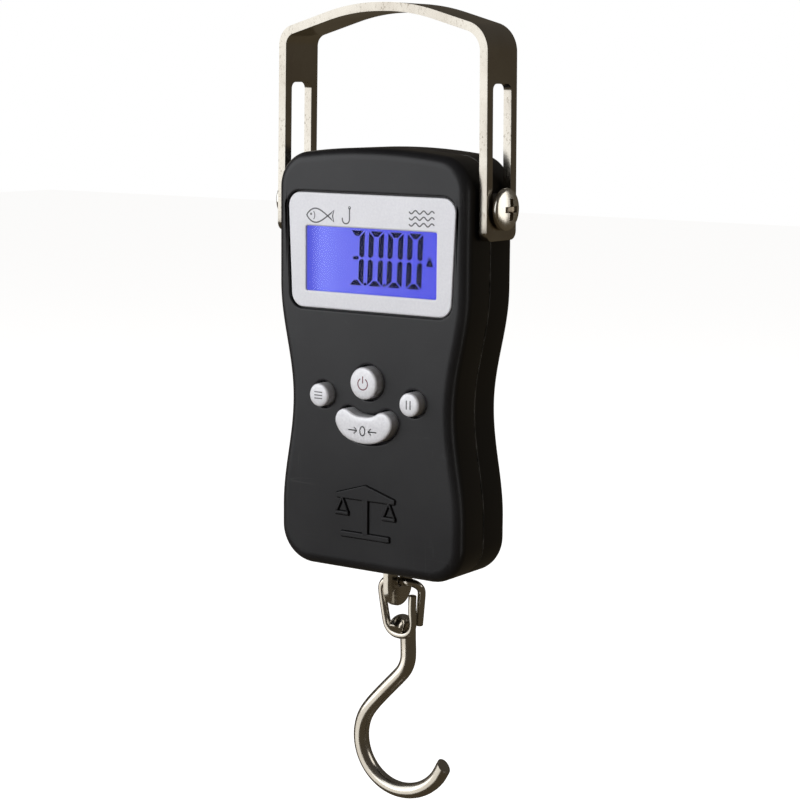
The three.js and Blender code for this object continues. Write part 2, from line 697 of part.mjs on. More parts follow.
node(caseBody, 'set_button', 'buttonSilver', roundButton(smallButton.diameter, buttonSpots.set));
node(caseBody, 'hold_button', 'buttonSilver', roundButton(smallButton.diameter, buttonSpots.hold));
node(caseBody, 'power_button', 'buttonSilver', roundButton(powerButton.diameter, buttonSpots.power));
node(caseBody, 'tare_button', 'buttonSilver', tareCap(buttonSpots.tare));

// ---------------------------------------------------------------- batteries
batteryRows.forEach((drop, i) => {
  const side = i === 0 ? 1 : -1;
  const radius = batteryDiameter / 2;
  const start = -batteryLength / 2;
  const end = batteryLength / 2;
  const profile = [
    [0, start], [radius - 0.5, start], [radius, start + 0.5], [radius, end - 1.5],
    [radius - 0.5, end - 1], [1.9, end - 1], [1.9, end], [0, end],
  ];
  const shift = batteryShift * side;
  const cell = node(caseBody, `battery_${i + 1}`, 'battery', turned('x', profile, 20),
    [shift, batteryY, -drop]);
  cell.rotation.z = side < 0 ? Math.PI : 0;

  const plate = sideBlock(side, [contactInner, batteryY - 4, -drop - 4],
    [contactInner + contactThickness, batteryY + 4, -drop + 4]);
  node(caseBody, `battery_contact_${i + 1}`, 'contact', plate);

  const coil = [];
  const springEnd = -side * (batteryLength / 2 - batteryShift + fit + 0.35);
  const turns = 3;
  const pitch = 1.15;
  for (let k = 0; k <= turns * 8; k += 1) {
    const angle = k * Math.PI / 4;
    const wide = 2.2 + 1.2 * k / (turns * 8);
    coil.push(new THREE.Vector3(
      springEnd - side * pitch * k / 8, batteryY + wide * Math.cos(angle), -drop + wide * Math.sin(angle)));
  }
  node(caseBody, `battery_spring_${i + 1}`, 'contact', wire(coil, 0.6, turns * 8, 3));
});

// ---------------------------------------------------------------- hanger, load cell, tongue
const tabOuter = halfWidth - caseWall - lipGap - seamLip - fit;
const boltDrops = [cellTop + 3, cellTop + 8.5];

// The arm stays under the case's rounded top corners.
function hangerFrame() {
  const armTop = Math.min(5, topCornerZ + 1.2);
  const arm = block([-tabOuter, hangerFront, -5], [tabOuter, hangerBack, armTop]);
  const stem = block([-5, hangerFront, -cellTop - 12], [5, hangerBack, -4]);
  const tabs = [-1, 1].map((side) => sideBlock(side,
    [tabOuter - 1.2, hangerFront, -5], [tabOuter, 4.5, armTop]));
  const bolts = boltDrops.map((drop) => rod('y', 1.75, hangerFront - 1, hangerBack + 1, [0, -drop], 14));
  return cut(join(arm, stem, ...tabs), pivotHole, ...bolts);
}
node(caseBody, 'hanger_frame', 'steel', hangerFrame());

const pinDrop = cellBottom - 5;
const cellMiddle = -(cellTop + cellBottom) / 2 - 0.6;
function loadCell() {
  const half = cellWidth / 2;
  const upper = cellMiddle + 7;
  const lower = cellMiddle - 7;
  const body = block([-half, cellFront, -cellBottom], [half, cellBack, -cellTop]);
  const slotLeft = block([-half - 1, cellFront - 1, upper - 1], [5, cellBack + 1, upper]);
  const slotRight = block([-5, cellFront - 1, lower], [half + 1, cellBack + 1, lower + 1]);
  const eyes = [-3, 3].map((x) => rod('y', 2.6, cellFront - 1, cellBack + 1, [x, cellMiddle], 14));
  const bridge = block([-3, cellFront - 1, cellMiddle - 0.6], [3, cellBack + 1, cellMiddle + 0.6]);
  const clevis = block(
    [-tongueThickness / 2 - fit, cellFront - 1, -cellBottom - 1],
    [tongueThickness / 2 + fit, cellBack + 1, -cellBottom + 9.6]);
  const bolts = boltDrops.map((drop) => rod('y', 1.75, cellFront - 1, cellBack + 1, [0, -drop], 14));
  const pin = rod('x', 1.8, -half - 1, half + 1, [loadOffset, -pinDrop], 14);
  return cut(body, slotLeft, slotRight, ...eyes, bridge, clevis, ...bolts, pin);
}
node(caseBody, 'load_cell', 'aluminium', loadCell());

boltDrops.forEach((drop, i) => {
  const shank = rod('y', 1.45, hangerFront, cellBack + fit + 0.2, [0, -drop], 14);
  const head = rod('y', 2.6, cellBack + fit, cellBack + fit + boltHead, [0, -drop], 14);
  node(caseBody, `cell_bolt_${i + 1}`, 'steel', join(shank, head));
});
node(caseBody, 'tongue_pin', 'steel',
  rod('x', 1.5, -cellWidth / 2 + 0.3, cellWidth / 2 - 0.3, [loadOffset, -pinDrop], 14));

for (const [side, name] of [[-1, 'left'], [1, 'right']]) {
  node(caseBody, `${name}_strain_gauge`, 'gauge', sideBlock(side,
    [cellWidth / 2 + 0.02, loadOffset - 2, cellMiddle - 2.5],
    [cellWidth / 2 + 0.22, loadOffset + 2, cellMiddle + 2.5]));
}

const linkHoleDrop = linkTop - 0.35;
const linkHole = linkWire / 2 + 0.65;
function tongue() {
  const end = tongueWidth / 2 - 0.1;
  const middle = (tongueFront + tongueBack) / 2;
  const shape = new THREE.Shape();
  const endDrop = linkTop + 0.8;
  shape.moveTo(tongueBack, -cellBottom + 8.8);
  shape.lineTo(tongueFront, -cellBottom + 8.8);
  shape.lineTo(tongueFront, -endDrop);
  shape.absarc(middle, -endDrop, end + 0.1, Math.PI, Math.PI * 2, false);
  return cut(cheek(shape, -tongueThickness / 2, tongueThickness / 2, 14),
    rod('x', linkHole, -5, 5, [loadOffset, -linkHoleDrop], 16),
    rod('x', 1.8, -5, 5, [loadOffset, -pinDrop], 14));
}
node(caseBody, 'hook_tongue', 'nickel', tongue());

// ---------------------------------------------------------------- leads inside the case
const lead = (name, look, points) => node(caseBody, name, look,
  wire(points.map((point) => new THREE.Vector3(...point)), 0.9, 10, 3));
lead('battery_lead_red', 'leadRed', [
  [22.6, 0.2, -31], [22.8, -0.2, -34], [21.4, -0.8, -38], [20.6, -1.7, -41.5], [20.4, -2.6, -44]]);
lead('battery_lead_black', 'leadBlack', [
  [-22.6, 0.2, -31], [-22.8, -0.2, -34], [-21.4, -0.8, -38], [-20.6, -1.7, -41.5], [-20.4, -2.6, -44]]);
const cellSide = -cellWidth / 2;
lead('cell_lead', 'label', [
  [cellSide - 2.8, 3.2, -59], [cellSide - 3.8, 3, -62.5], [cellSide - 4.6, 1.4, -64],
  [cellSide - 4.6, -0.8, -60], [cellSide - 4, -2.6, -54]]);

// ---------------------------------------------------------------- link
const lapShift = linkWire + 0.3;

// The bent wire from its cut end down the right side, across the bottom, up the left, through
// the tongue and down behind itself: [x, z, corner radius] below, then the lap behind.
function linkPoints() {
  const outline = roundedPoints([
    [linkHalf - 1, -linkTop - 3.2, 0],
    [linkHalf - 1.1, -linkTop - 7, 8],
    [linkHalf - 0.7, -linkBottom, 3.4],
    [-linkHalf + 2.5, -linkBottom, 3.9],
    [-linkHalf - 0.15, -linkTop, 2.6],
    [linkHalf + 0.35, -linkTop, 2.6],
    [linkHalf + 0.1, -linkTop - 5, 6],
    [linkHalf - 0.5, -linkBottom + 2.6, 0],
  ], false, 5);
  const top = outline.findIndex((point, i) => i > 12 && point.x > 0.9 && point.y > -linkTop - 1);
  return outline.map((point, i) => {
    const along = THREE.MathUtils.clamp((i - top + 1) / 6, 0, 1);
    return new THREE.Vector3(point.x, lapShift * ease(along), point.y);
  });
}

const linkGroup = new THREE.Group();
linkGroup.position.y = loadOffset;
caseBody.add(linkGroup);
node(linkGroup, 'hook_link', 'nickel', wire(linkPoints(), linkWire, 56, 4));

// ---------------------------------------------------------------- hook
const curlRadius = (linkWire + hookWire) / 2 + fit;
const hookX = 0.95;

// From the open end in front of the link's bar, over it, down behind it and round the bow.
function hookPoints() {
  const points = [];
  for (let degrees = 145; degrees >= 0; degrees -= 24.2) {
    const angle = THREE.MathUtils.degToRad(Math.max(degrees, 0));
    points.push([hookX, curlRadius * Math.cos(angle), -linkBottom + curlRadius * Math.sin(angle)]);
  }
  const bowY = 1.6;
  const tipRadius = bowRadius + 1.7;
  const bowX = 0.3;
  const bowBottom = -bowDrop - bowRadius;
  const startAngle = THREE.MathUtils.degToRad(138);
  const startX = bowX + bowRadius * Math.cos(startAngle);
  const startZ = -bowDrop + bowRadius * Math.sin(startAngle);
  const bendDrop = startZ + (hookX + 0.5 - startX) / Math.tan(Math.PI - startAngle);
  const shank = roundedPoints([
    [hookX, -linkBottom - 2, 0], [hookX + 0.5, bendDrop, 7], [startX, startZ, 0],
  ], false, 5);
  shank.slice(0, -1).forEach((point) => {
    const along = (-linkBottom - point.y) / 22;
    points.push([point.x, THREE.MathUtils.lerp(curlRadius, bowY, ease(along)), point.y]);
  });
  for (let k = 0; k <= 7; k += 1) {
    const angle = THREE.MathUtils.degToRad(138 + 132 * k / 7);
    points.push([bowX + bowRadius * Math.cos(angle), bowY, -bowDrop + bowRadius * Math.sin(angle)]);
  }
  for (let k = 1; k <= 4; k += 1) {
    const angle = THREE.MathUtils.degToRad(270 + 68 * k / 4);
    points.push([
      bowX + tipRadius * Math.cos(angle), bowY, bowBottom + tipRadius + tipRadius * Math.sin(angle)]);
  }
  return points.map((point) => new THREE.Vector3(...point));
}

const hookGroup = new THREE.Group();
hookGroup.position.y = loadOffset;
caseBody.add(hookGroup);
node(hookGroup, 'hook', 'nickel', wire(hookPoints(), hookWire, 60, 5));

export default scale;
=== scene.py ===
"""Looks for the digital hanging fish scale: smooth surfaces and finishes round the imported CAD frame.

Shapes are worked out in case millimetres, whose origin is on the axis of the two pivot screws,
with x to the right, y to the back and z up, and become metres in the shared frame at the end.
"""
import math

import bmesh
import bpy
import numpy as np
from mathutils import Matrix, Vector
from mathutils.geometry import tessellate_polygon


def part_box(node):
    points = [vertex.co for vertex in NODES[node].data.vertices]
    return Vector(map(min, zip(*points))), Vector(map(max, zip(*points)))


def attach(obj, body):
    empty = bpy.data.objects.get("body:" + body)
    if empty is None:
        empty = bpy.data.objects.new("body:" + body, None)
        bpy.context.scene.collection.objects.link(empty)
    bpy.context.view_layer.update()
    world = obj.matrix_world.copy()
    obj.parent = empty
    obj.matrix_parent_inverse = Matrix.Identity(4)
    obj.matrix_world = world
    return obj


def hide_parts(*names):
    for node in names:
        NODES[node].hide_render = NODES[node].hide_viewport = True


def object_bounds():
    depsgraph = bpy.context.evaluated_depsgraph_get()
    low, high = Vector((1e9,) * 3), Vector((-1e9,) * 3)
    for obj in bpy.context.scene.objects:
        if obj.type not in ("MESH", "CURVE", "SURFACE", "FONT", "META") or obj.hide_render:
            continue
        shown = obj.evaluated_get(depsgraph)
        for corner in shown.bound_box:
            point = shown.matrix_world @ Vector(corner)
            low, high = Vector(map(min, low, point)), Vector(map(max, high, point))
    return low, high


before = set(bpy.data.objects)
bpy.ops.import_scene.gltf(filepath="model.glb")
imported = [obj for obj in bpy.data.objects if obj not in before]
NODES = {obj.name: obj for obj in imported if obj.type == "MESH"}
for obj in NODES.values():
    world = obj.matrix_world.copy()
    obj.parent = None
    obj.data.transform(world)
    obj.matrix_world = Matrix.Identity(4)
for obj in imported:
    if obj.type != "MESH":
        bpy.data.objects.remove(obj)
cad_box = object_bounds()

MM = 0.001
TURN = 2 * math.pi
SAME_PLACE = 2e-7    # metres between points that are merged
HALF_TURN = [[-1, 0, 0], [0, -1, 0], [0, 0, 1]]    # about the upright axis
screw_low, screw_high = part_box("right_pivot_screw")
PIVOT_HEIGHT = (screw_low.z + screw_high.z) / 2


# ---------------------------------------------------------------- sizes, in millimetres
case_low, case_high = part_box("front_shell")
CASE_HALF = (case_high.x - case_low.x) / 2 / MM
FRONT = -10.75
BACK = 10.75
WALL = 2.0
EDGE_ROUND = 2.8
SEAM_ROUND = 0.22
CASE_TOP = (case_high.z - PIVOT_HEIGHT) / MM
CASE_BOTTOM = (case_low.z - PIVOT_HEIGHT) / MM
CROWN = 160.0
TOP_CORNER = 9.0
LOW_CORNER = 9.5
SHOULDER, WAIST, HIP = -20.0, -49.5, -78.0
WAIST_INSET, HIP_INSET = 3.98, 0.82
PARTING_FRONT = -0.55
PARTING_BACK = -0.25
INNER_FRONT = FRONT + WALL
INNER_BACK = BACK - WALL
LOAD_Y = 3.2


# ---------------------------------------------------------------- loops and paths
def arc(centre, radius, start, end, steps):
    """Points at equal angles on a circle: centre + radius (cos a, sin a), with a from start to end
    in degrees."""
    angles = np.radians(np.linspace(start, end, steps))
    return np.stack([centre[0] + radius * np.cos(angles), centre[1] + radius * np.sin(angles)], 1)


def ease(t):
    """Half a cosine wave, from 0 at t = 0 to 1 at t = 1."""
    return (1 - np.cos(np.pi * np.clip(t, 0, 1))) / 2


def rounded(corners, steps=10, closed=True):
    """A polyline with each corner [u, v, radius] replaced by the arc that touches both its sides."""
    corners = np.asarray(corners, float)
    rows = []
    for i, (u, v, radius) in enumerate(corners):
        here = np.array([u, v])
        if radius == 0 or (not closed and i in (0, len(corners) - 1)):
            rows.append(here[None])
            continue
        before = corners[i - 1, :2] - here
        after = corners[(i + 1) % len(corners), :2] - here
        before /= np.linalg.norm(before)
        after /= np.linalg.norm(after)
        half = math.acos(np.clip(before @ after, -1, 1)) / 2
        middle = before + after
        centre = here + middle / np.linalg.norm(middle) * radius / math.sin(half)
        start = here + before * radius / math.tan(half) - centre
        end = here + after * radius / math.tan(half) - centre
        first = math.degrees(math.atan2(start[1], start[0]))
        sweep = math.degrees(math.atan2(start[0] * end[1] - start[1] * end[0], start @ end))
        rows.append(arc(centre, radius, first, first + sweep, steps))
    return np.concatenate(rows)


def rectangle(half, low, high, radius, steps=8):
    """A rounded rectangle about x = 0, anticlockwise."""
    return rounded([[-half, low, radius], [half, low, radius], [half, high, radius],
                    [-half, high, radius]], steps)


def circle(x, z, radius, steps=64):
    """A circle, anticlockwise, without a doubled last point."""
    return arc((x, z), radius, 0, 360, steps + 1)[:-1]


def drawn_in(loop, distance):
    """A closed anticlockwise loop moved inwards: each point goes along the bisector of its two
    sides by distance over the cosine of half their turn."""
    ahead = np.roll(loop, -1, 0) - loop
    behind = loop - np.roll(loop, 1, 0)
    ahead /= np.linalg.norm(ahead, axis=1, keepdims=True)
    behind /= np.linalg.norm(behind, axis=1, keepdims=True)
    normal = np.stack([-(ahead + behind)[:, 1], (ahead + behind)[:, 0]], 1)
    normal /= np.linalg.norm(normal, axis=1, keepdims=True)
    lean = np.abs(normal[:, 0] * -ahead[:, 1] + normal[:, 1] * ahead[:, 0])
    return loop + normal * (distance / np.maximum(lean, 0.3))[:, None]


def at_depth(loop, y):
    """A flat loop of x and z placed at depth y."""
    return np.stack([loop[:, 0], np.full(len(loop), float(y)), loop[:, 1]], 1)


def spline(points, count):
    """A centripetal Catmull-Rom curve through points: each span is the cubic whose end slopes come
    from its neighbours, spaced by the square root of their distance. Resampled to equal steps."""
    p = np.asarray(points, float)
    p = np.concatenate([[2 * p[0] - p[1]], p, [2 * p[-1] - p[-2]]])
    gaps = np.sqrt(np.linalg.norm(np.diff(p, axis=0), axis=1))[:, None]
    a, b, c = gaps[:-2], gaps[1:-1], gaps[2:]
    p0, p1, p2, p3 = p[:-3], p[1:-2], p[2:-1], p[3:]
    first = ((p1 - p0) / a - (p2 - p0) / (a + b) + (p2 - p1) / b) * b
    last = ((p2 - p1) / b - (p3 - p1) / (b + c) + (p3 - p2) / c) * b
    t = np.linspace(0, 1, 24, endpoint=False)[None, :, None]
    p1, p2, first, last = (q[:, None] for q in (p1, p2, first, last))
    curve = (p1 + first * t + (-3 * p1 + 3 * p2 - 2 * first - last) * t ** 2
             + (2 * p1 - 2 * p2 + first + last) * t ** 3)
    return even(np.concatenate([curve.reshape(-1, p.shape[1]), p[-2:-1]]), count)


def even(points, count):
    """The same polyline sampled at count equal steps of its length."""
    gone = np.concatenate([[0], np.cumsum(np.linalg.norm(np.diff(points, axis=0), axis=1))])
    wanted = np.linspace(0, gone[-1], count)
    return np.stack([np.interp(wanted, gone, points[:, k]) for k in range(points.shape[1])], 1)


# ---------------------------------------------------------------- skins
class Skin:
    """Collects rows of points in case millimetres and the faces between them for one mesh."""

    def __init__(self):
        self.rows = []
        self.faces = []
        self.count = 0

    def put(self, points):
        points = np.asarray(points, float)
        index = np.arange(self.count, self.count + len(points))
        self.rows.append(points)
        self.count += len(points)
        return index

    def strip(self, a, b, closed=True):
        """Four-sided faces between two rows of the same length."""
        if closed:
            a2, b2 = np.roll(a, -1), np.roll(b, -1)
        else:
            a, a2, b, b2 = a[:-1], a[1:], b[:-1], b[1:]
        self.faces.extend(np.stack([a, a2, b2, b], 1).tolist())

    def stack(self, rings, closed=True):
        """Rings joined one to the next; gives back their indices."""
        index = [self.put(ring) for ring in rings]
        for a, b in zip(index, index[1:]):
            self.strip(a, b, closed)
        return index

    def fill(self, outer, *holes):
        """A flat face inside the outer ring and round the holes."""
        everything = np.concatenate(self.rows)
        loops = [outer, *holes]
        flat = np.concatenate(loops)
        drawn = [[Vector(everything[i]) for i in loop] for loop in loops]
        self.faces.extend([[int(flat[k]) for k in tri] for tri in tessellate_polygon(drawn)])

    def add(self, other):
        """Takes in another skin's rows and faces."""
        self.faces += [[i + self.count for i in face] for face in other.faces]
        self.rows += other.rows
        self.count += other.count

    def move(self, matrix=None, shift=(0, 0, 0)):
        """Turns what is there so far by a 3 by 3 matrix, then shifts it."""
        turn = np.eye(3) if matrix is None else np.asarray(matrix, float)
        self.rows = [row @ turn.T + np.asarray(shift, float) for row in self.rows]
        return self


def quarter(inset, y, radius, towards, steps=6):
    """The insets and depths of a quarter circle that leaves a wall at inset and ends on a face at
    depth y, on the side that towards gives: 1 where the material lies behind the face."""
    angle = np.linspace(0, np.pi / 2, steps + 1)
    across = inset + radius * (1 - np.cos(angle))
    return list(zip(across, y + towards * radius * (1 - np.sin(angle))))


def walls(skin, loop, profile):
    """A loop carried along a profile of (inset, depth) pairs."""
    return skin.stack([at_depth(drawn_in(loop, inset), y) for inset, y in profile])


def plate(skin, loop, face, floor, round_=0.0, steps=4):
    """A flat piece between two depths whose face edge is rounded, closed at both ends."""
    side = 1 if floor > face else -1
    if round_:
        edge = quarter(0, face, round_, side, steps)
        profile = [(0, floor), *edge, (round_ * 1.5 + 0.05, face)]
    else:
        profile = [(0, floor), (0, face)]
    index = walls(skin, loop, profile)
    skin.fill(index[0])
    skin.fill(index[-1])
    return index


def ribbon(skin, path, width, level, closed=False, thick=0.05, proud=0.02):
    """A printed line: a thin rectangular section carried along a path of x and z, with round ends,
    lying on the flat face at depth level."""
    path = np.asarray(path, float)
    half = np.full(len(path), width / 2)
    if not closed:
        cap = np.radians(np.linspace(90, 0, 5))[:-1]
        start = path[0] - path[1]
        end = path[-1] - path[-2]
        start /= np.linalg.norm(start)
        end /= np.linalg.norm(end)
        reach = np.sin(cap) * width / 2
        path = np.concatenate([path[0] + start * reach[:, None], path,
                               path[-1] + end * reach[::-1, None]])
        half = np.concatenate([np.maximum(np.cos(cap), 0.02) * width / 2, half,
                               np.maximum(np.cos(cap), 0.02)[::-1] * width / 2])
    if closed:
        along = np.roll(path, -1, 0) - np.roll(path, 1, 0)
    else:
        along = np.gradient(path, axis=0)
    along /= np.linalg.norm(along, axis=1, keepdims=True)
    across = np.stack([-along[:, 1], along[:, 0]], 1) * half[:, None]
    rows = []
    for side, depth in ((1, -proud), (-1, -proud), (-1, thick), (1, thick)):
        flat = path + side * across
        rows.append(at_depth(flat, level + depth))
    index = skin.stack(rows, closed)
    skin.strip(index[-1], index[0], closed)
    if not closed:
        skin.faces.append([int(row[0]) for row in index])
        skin.faces.append([int(row[-1]) for row in index])


def spun(profile, steps, axis):
    """The rings of a profile of (radius, distance) pairs spun round an axis."""
    angle = np.linspace(0, TURN, steps, endpoint=False)
    rings = []
    for radius, along in profile:
        u, v = max(radius, 1e-4) * np.cos(angle), max(radius, 1e-4) * np.sin(angle)
        level = np.full(steps, float(along))
        rings.append(np.stack([u, level, v] if axis == "y" else [level, u, v], 1))
    return rings


def turned(skin, profile, steps=64, axis="y"):
    """A solid turned from a profile, closed flat at both ends."""
    index = skin.stack(spun(profile, steps, axis))
    skin.fill(index[0])
    skin.fill(index[-1])
    return index


def tube(skin, path, across, radius, steps=28, chamfer=0.25, cut=None):
    """A round wire: at each path point a circle in the plane of across, made square to the path,
    and its cross product with the path. Both ends are cut flat with a small chamfer. cut is the
    normal of a slanted last end: over the last rings each point p moves along the path t by
    -(p . cut) / (t . cut), so that the last ring lies in that plane."""
    along = np.gradient(path, axis=0)
    along /= np.linalg.norm(along, axis=1, keepdims=True)
    across = across - (across * along).sum(1, keepdims=True) * along
    across /= np.linalg.norm(across, axis=1, keepdims=True)
    third = np.cross(along, across)
    angle = np.linspace(0, TURN, steps, endpoint=False)
    middle = np.concatenate([path[:1], path[:1] + along[:1] * chamfer, path[1:-1],
                             path[-1:] - along[-1:] * chamfer, path[-1:]])
    keep = [0, 0, *range(1, len(path) - 1), len(path) - 1, len(path) - 1]
    size = np.full(len(middle), radius)
    size[0] = size[-1] = radius - chamfer
    rings = (middle[:, None] + size[:, None, None] * (
        np.cos(angle)[None, :, None] * across[keep][:, None]
        + np.sin(angle)[None, :, None] * third[keep][:, None]))
    if cut is not None:
        share = np.clip(1 - (len(middle) - 1 - np.arange(len(middle))) / 14, 0, 1)[:, None]
        slide = -((rings - middle[:, None]) @ cut) / (along[-1] @ cut) * share
        rings = rings + slide[..., None] * along[keep][:, None]
    index = skin.stack(list(rings))
    skin.fill(index[0])
    skin.fill(index[-1])


def mesh_of(name, skin, sharp=32):
    """One mesh in metres in the shared frame, with doubles merged and faces pointing outwards."""
    points = np.concatenate(skin.rows) * MM
    points[:, 2] += PIVOT_HEIGHT
    mesh = bpy.data.meshes.new(name)
    mesh.from_pydata(points.tolist(), [], skin.faces)
    work = bmesh.new()
    work.from_mesh(mesh)
    bmesh.ops.remove_doubles(work, verts=work.verts, dist=SAME_PLACE)
    bmesh.ops.recalc_face_normals(work, faces=work.faces)
    work.to_mesh(mesh)
    work.free()
    mesh.shade_smooth()
    mesh.set_sharp_from_angle(angle=math.radians(sharp))
    return mesh


def piece(name, skin, finish, body, stands_for=(), sharp=32, cutters=()):
    """Makes an object of a skin, cuts the cutters out of it, gives it its finish and its body."""
    made = bpy.data.objects.new(name, mesh_of(name, skin, sharp))
    bpy.context.scene.collection.objects.link(made)
    for i, cutter in enumerate(cutters):
        tool = bpy.data.objects.new(f"{name}_cutter_{i}", mesh_of(f"{name}_cutter_{i}", cutter))
        bpy.context.scene.collection.objects.link(tool)
        hole = made.modifiers.new("hole", "BOOLEAN")
        hole.operation = "DIFFERENCE"
        hole.solver = "EXACT"
        hole.object = tool
        settle(made, sharp)
        bpy.data.objects.remove(tool)
    made.data.materials.clear()
    made.data.materials.append(finish)
    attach(made, body)
    if stands_for:
        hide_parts(*stands_for)
    return made


def second_finish(made, other, chosen):
    """Gives another finish to the faces whose centres, in case millimetres, chosen picks out."""
    mesh = made.data
    centres = np.empty(len(mesh.polygons) * 3)
    mesh.polygons.foreach_get("center", centres)
    centres = centres.reshape(-1, 3)
    centres[:, 2] -= PIVOT_HEIGHT
    mesh.materials.append(other)
    mesh.polygons.foreach_set("material_index", chosen(centres / MM).astype(np.int32))


def settle(made, sharp):
    """Applies what modifiers the object has, as its new mesh."""
    bpy.context.view_layer.update()
    solved = bpy.data.meshes.new_from_object(
        made.evaluated_get(bpy.context.evaluated_depsgraph_get()))
    made.modifiers.clear()
    made.data = solved
    solved.shade_smooth()
    solved.set_sharp_from_angle(angle=math.radians(sharp))


# ---------------------------------------------------------------- camera and studio
def put_camera():
    """A long lens at the front right, a little above the middle of the case."""
    azimuth, elevation, roll = (math.radians(a) for a in (34.47, 8.60, 0.49))
    back = Vector((math.sin(azimuth) * math.cos(elevation),
                   -math.cos(azimuth) * math.cos(elevation), math.sin(elevation)))
    right = Vector((math.cos(azimuth), math.sin(azimuth), 0))
    up = back.cross(right)
    rolled_right = right * math.cos(roll) + up * math.sin(roll)
    rolled_up = up * math.cos(roll) - right * math.sin(roll)
    data = bpy.data.cameras.new("camera")
    data.sensor_width = 36
    data.lens = 95.085
    data.clip_start, data.clip_end = 0.01, 20
    camera = bpy.data.objects.new("camera", data)
    bpy.context.scene.collection.objects.link(camera)
    turn = Matrix((rolled_right, rolled_up, back)).transposed().to_4x4()
    camera.matrix_world = Matrix.Translation((0.3006, -0.4346, -0.0167)) @ turn
    bpy.context.scene.camera = camera


def softbox(name, azimuth, elevation, distance, width, height, brightness, colour=(1, 1, 1),
            mirrored=True, soft=True):
    """A rectangular lamp on a sphere round the scale, facing its middle. Its power is brightness
    times pi times its area. mirrored lamps show in reflections, soft ones light matt surfaces."""
    a, e = math.radians(azimuth), math.radians(elevation)
    away = Vector((math.sin(a) * math.cos(e), -math.cos(a) * math.cos(e), math.sin(e)))
    data = bpy.data.lights.new(name, "AREA")
    data.shape = "RECTANGLE"
    data.size, data.size_y = width, height
    data.energy = brightness * math.pi * width * height
    data.color = colour
    lamp = bpy.data.objects.new(name, data)
    bpy.context.scene.collection.objects.link(lamp)
    lamp.location = Vector((0, 0, -0.09)) + away * distance
    lamp.rotation_mode = "QUATERNION"
    lamp.rotation_quaternion = away.to_track_quat("Z", "Y")
    lamp.visible_camera = False
    lamp.visible_glossy = mirrored
    lamp.visible_diffuse = soft


def put_room():
    """A world that the camera sees white, and that metal mirrors as a dim warm room."""
    world = bpy.data.worlds.new("studio")
    bpy.context.scene.world = world
    world.use_nodes = True
    tree = world.node_tree
    tree.nodes.clear()
    out, mix, path, room, white, place, split, ramp, level = (
        tree.nodes.new(f"ShaderNode{kind}") for kind in (
            "OutputWorld", "MixShader", "LightPath", "Background", "Background", "TexCoord",
            "SeparateXYZ", "ValToRGB", "Math"))
    low, high = ramp.color_ramp.elements
    low.position, low.color = 0.30, (0.082, 0.066, 0.043, 1)
    high.position, high.color = 0.95, (0.07, 0.065, 0.06, 1)
    level.operation = "MULTIPLY_ADD"
    level.inputs[1].default_value = 0.5
    level.inputs[2].default_value = 0.5
    white.inputs["Color"].default_value = (1, 1, 1, 1)
    for start, end in ((place.outputs["Generated"], split.inputs[0]),
                       (split.outputs["Z"], level.inputs[0]), (level.outputs[0], ramp.inputs[0]),
                       (ramp.outputs[0], room.inputs["Color"]),
                       (path.outputs["Is Camera Ray"], mix.inputs[0]),
                       (room.outputs[0], mix.inputs[1]), (white.outputs[0], mix.inputs[2]),
                       (mix.outputs[0], out.inputs[0])):
        tree.links.new(start, end)


def put_floor():
    """A pale floor under the hook, which neither reflects in the metal nor lights the plastic."""
    floor_height = cad_box[0].z - 0.06
    reach = 3.0
    mesh = bpy.data.meshes.new("floor")
    mesh.from_pydata([(-reach, -reach, floor_height), (reach, -reach, floor_height),
                      (reach, reach, floor_height), (-reach, reach, floor_height)],
                     [], [(0, 1, 2, 3)])
    floor = bpy.data.objects.new("floor", mesh)
    bpy.context.scene.collection.objects.link(floor)
    pale = bpy.data.materials.new("pale_floor")
    pale.use_nodes = True
    shader = pale.node_tree.nodes["Principled BSDF"]
    shader.inputs["Base Color"].default_value = (0.9, 0.9, 0.9, 1)
    shader.inputs["Roughness"].default_value = 0.9
    shader.inputs["Emission Color"].default_value = (1, 1, 1, 1)
    shader.inputs["Emission Strength"].default_value = 0.9
    mesh.materials.append(pale)
    floor.visible_glossy = False
    floor.visible_diffuse = False


def put_lamps():
    """Three soft lamps, at the front left, in front and behind, light matt surfaces, and only the
    first of them is also mirrored. The other four show only as reflections, each in the pieces
    that its shine_on line names at the end."""
    softbox("front_left_box", -43, 16, 0.9, 0.96, 0.84, 1.65, (0.95, 0.97, 1.0))
    softbox("hook_box", -42, -14, 0.85, 1.05, 1.0, 1.08, (1.0, 0.985, 0.95), soft=False)
    softbox("hook_glint", 106, 30, 0.95, 0.45, 0.55, 1.6, (1.0, 0.97, 0.92), soft=False)
    softbox("front_fill", -12, 12, 1.1, 1.2, 0.9, 2.4, (0.98, 0.985, 1.0), mirrored=False)
    softbox("fillet_strip", 76, -9, 0.95, 0.10, 0.7, 2.6, soft=False)
    softbox("screw_box", 106, 12, 0.9, 1.05, 1.0, 1.7, (1.0, 0.985, 0.95), soft=False)
    softbox("back_fill", 172, 42, 1.1, 0.7, 0.5, 1.0, mirrored=False)


bpy.context.scene.view_settings.view_transform = "Standard"
put_camera()
put_room()
put_floor()
put_lamps()


# ---------------------------------------------------------------- shader groups
def maths(tree, operation, a, b=None, c=None, clamp=False):
    """A Math node; a, b and c are sockets or numbers."""
    made = tree.nodes.new("ShaderNodeMath")
    made.operation = operation
    made.use_clamp = clamp
    for i, value in enumerate((a, b, c)):
        if value is None:
            continue
        if isinstance(value, bpy.types.NodeSocket):
            tree.links.new(value, made.inputs[i])
        else:
            made.inputs[i].default_value = value
    return made.outputs[0]


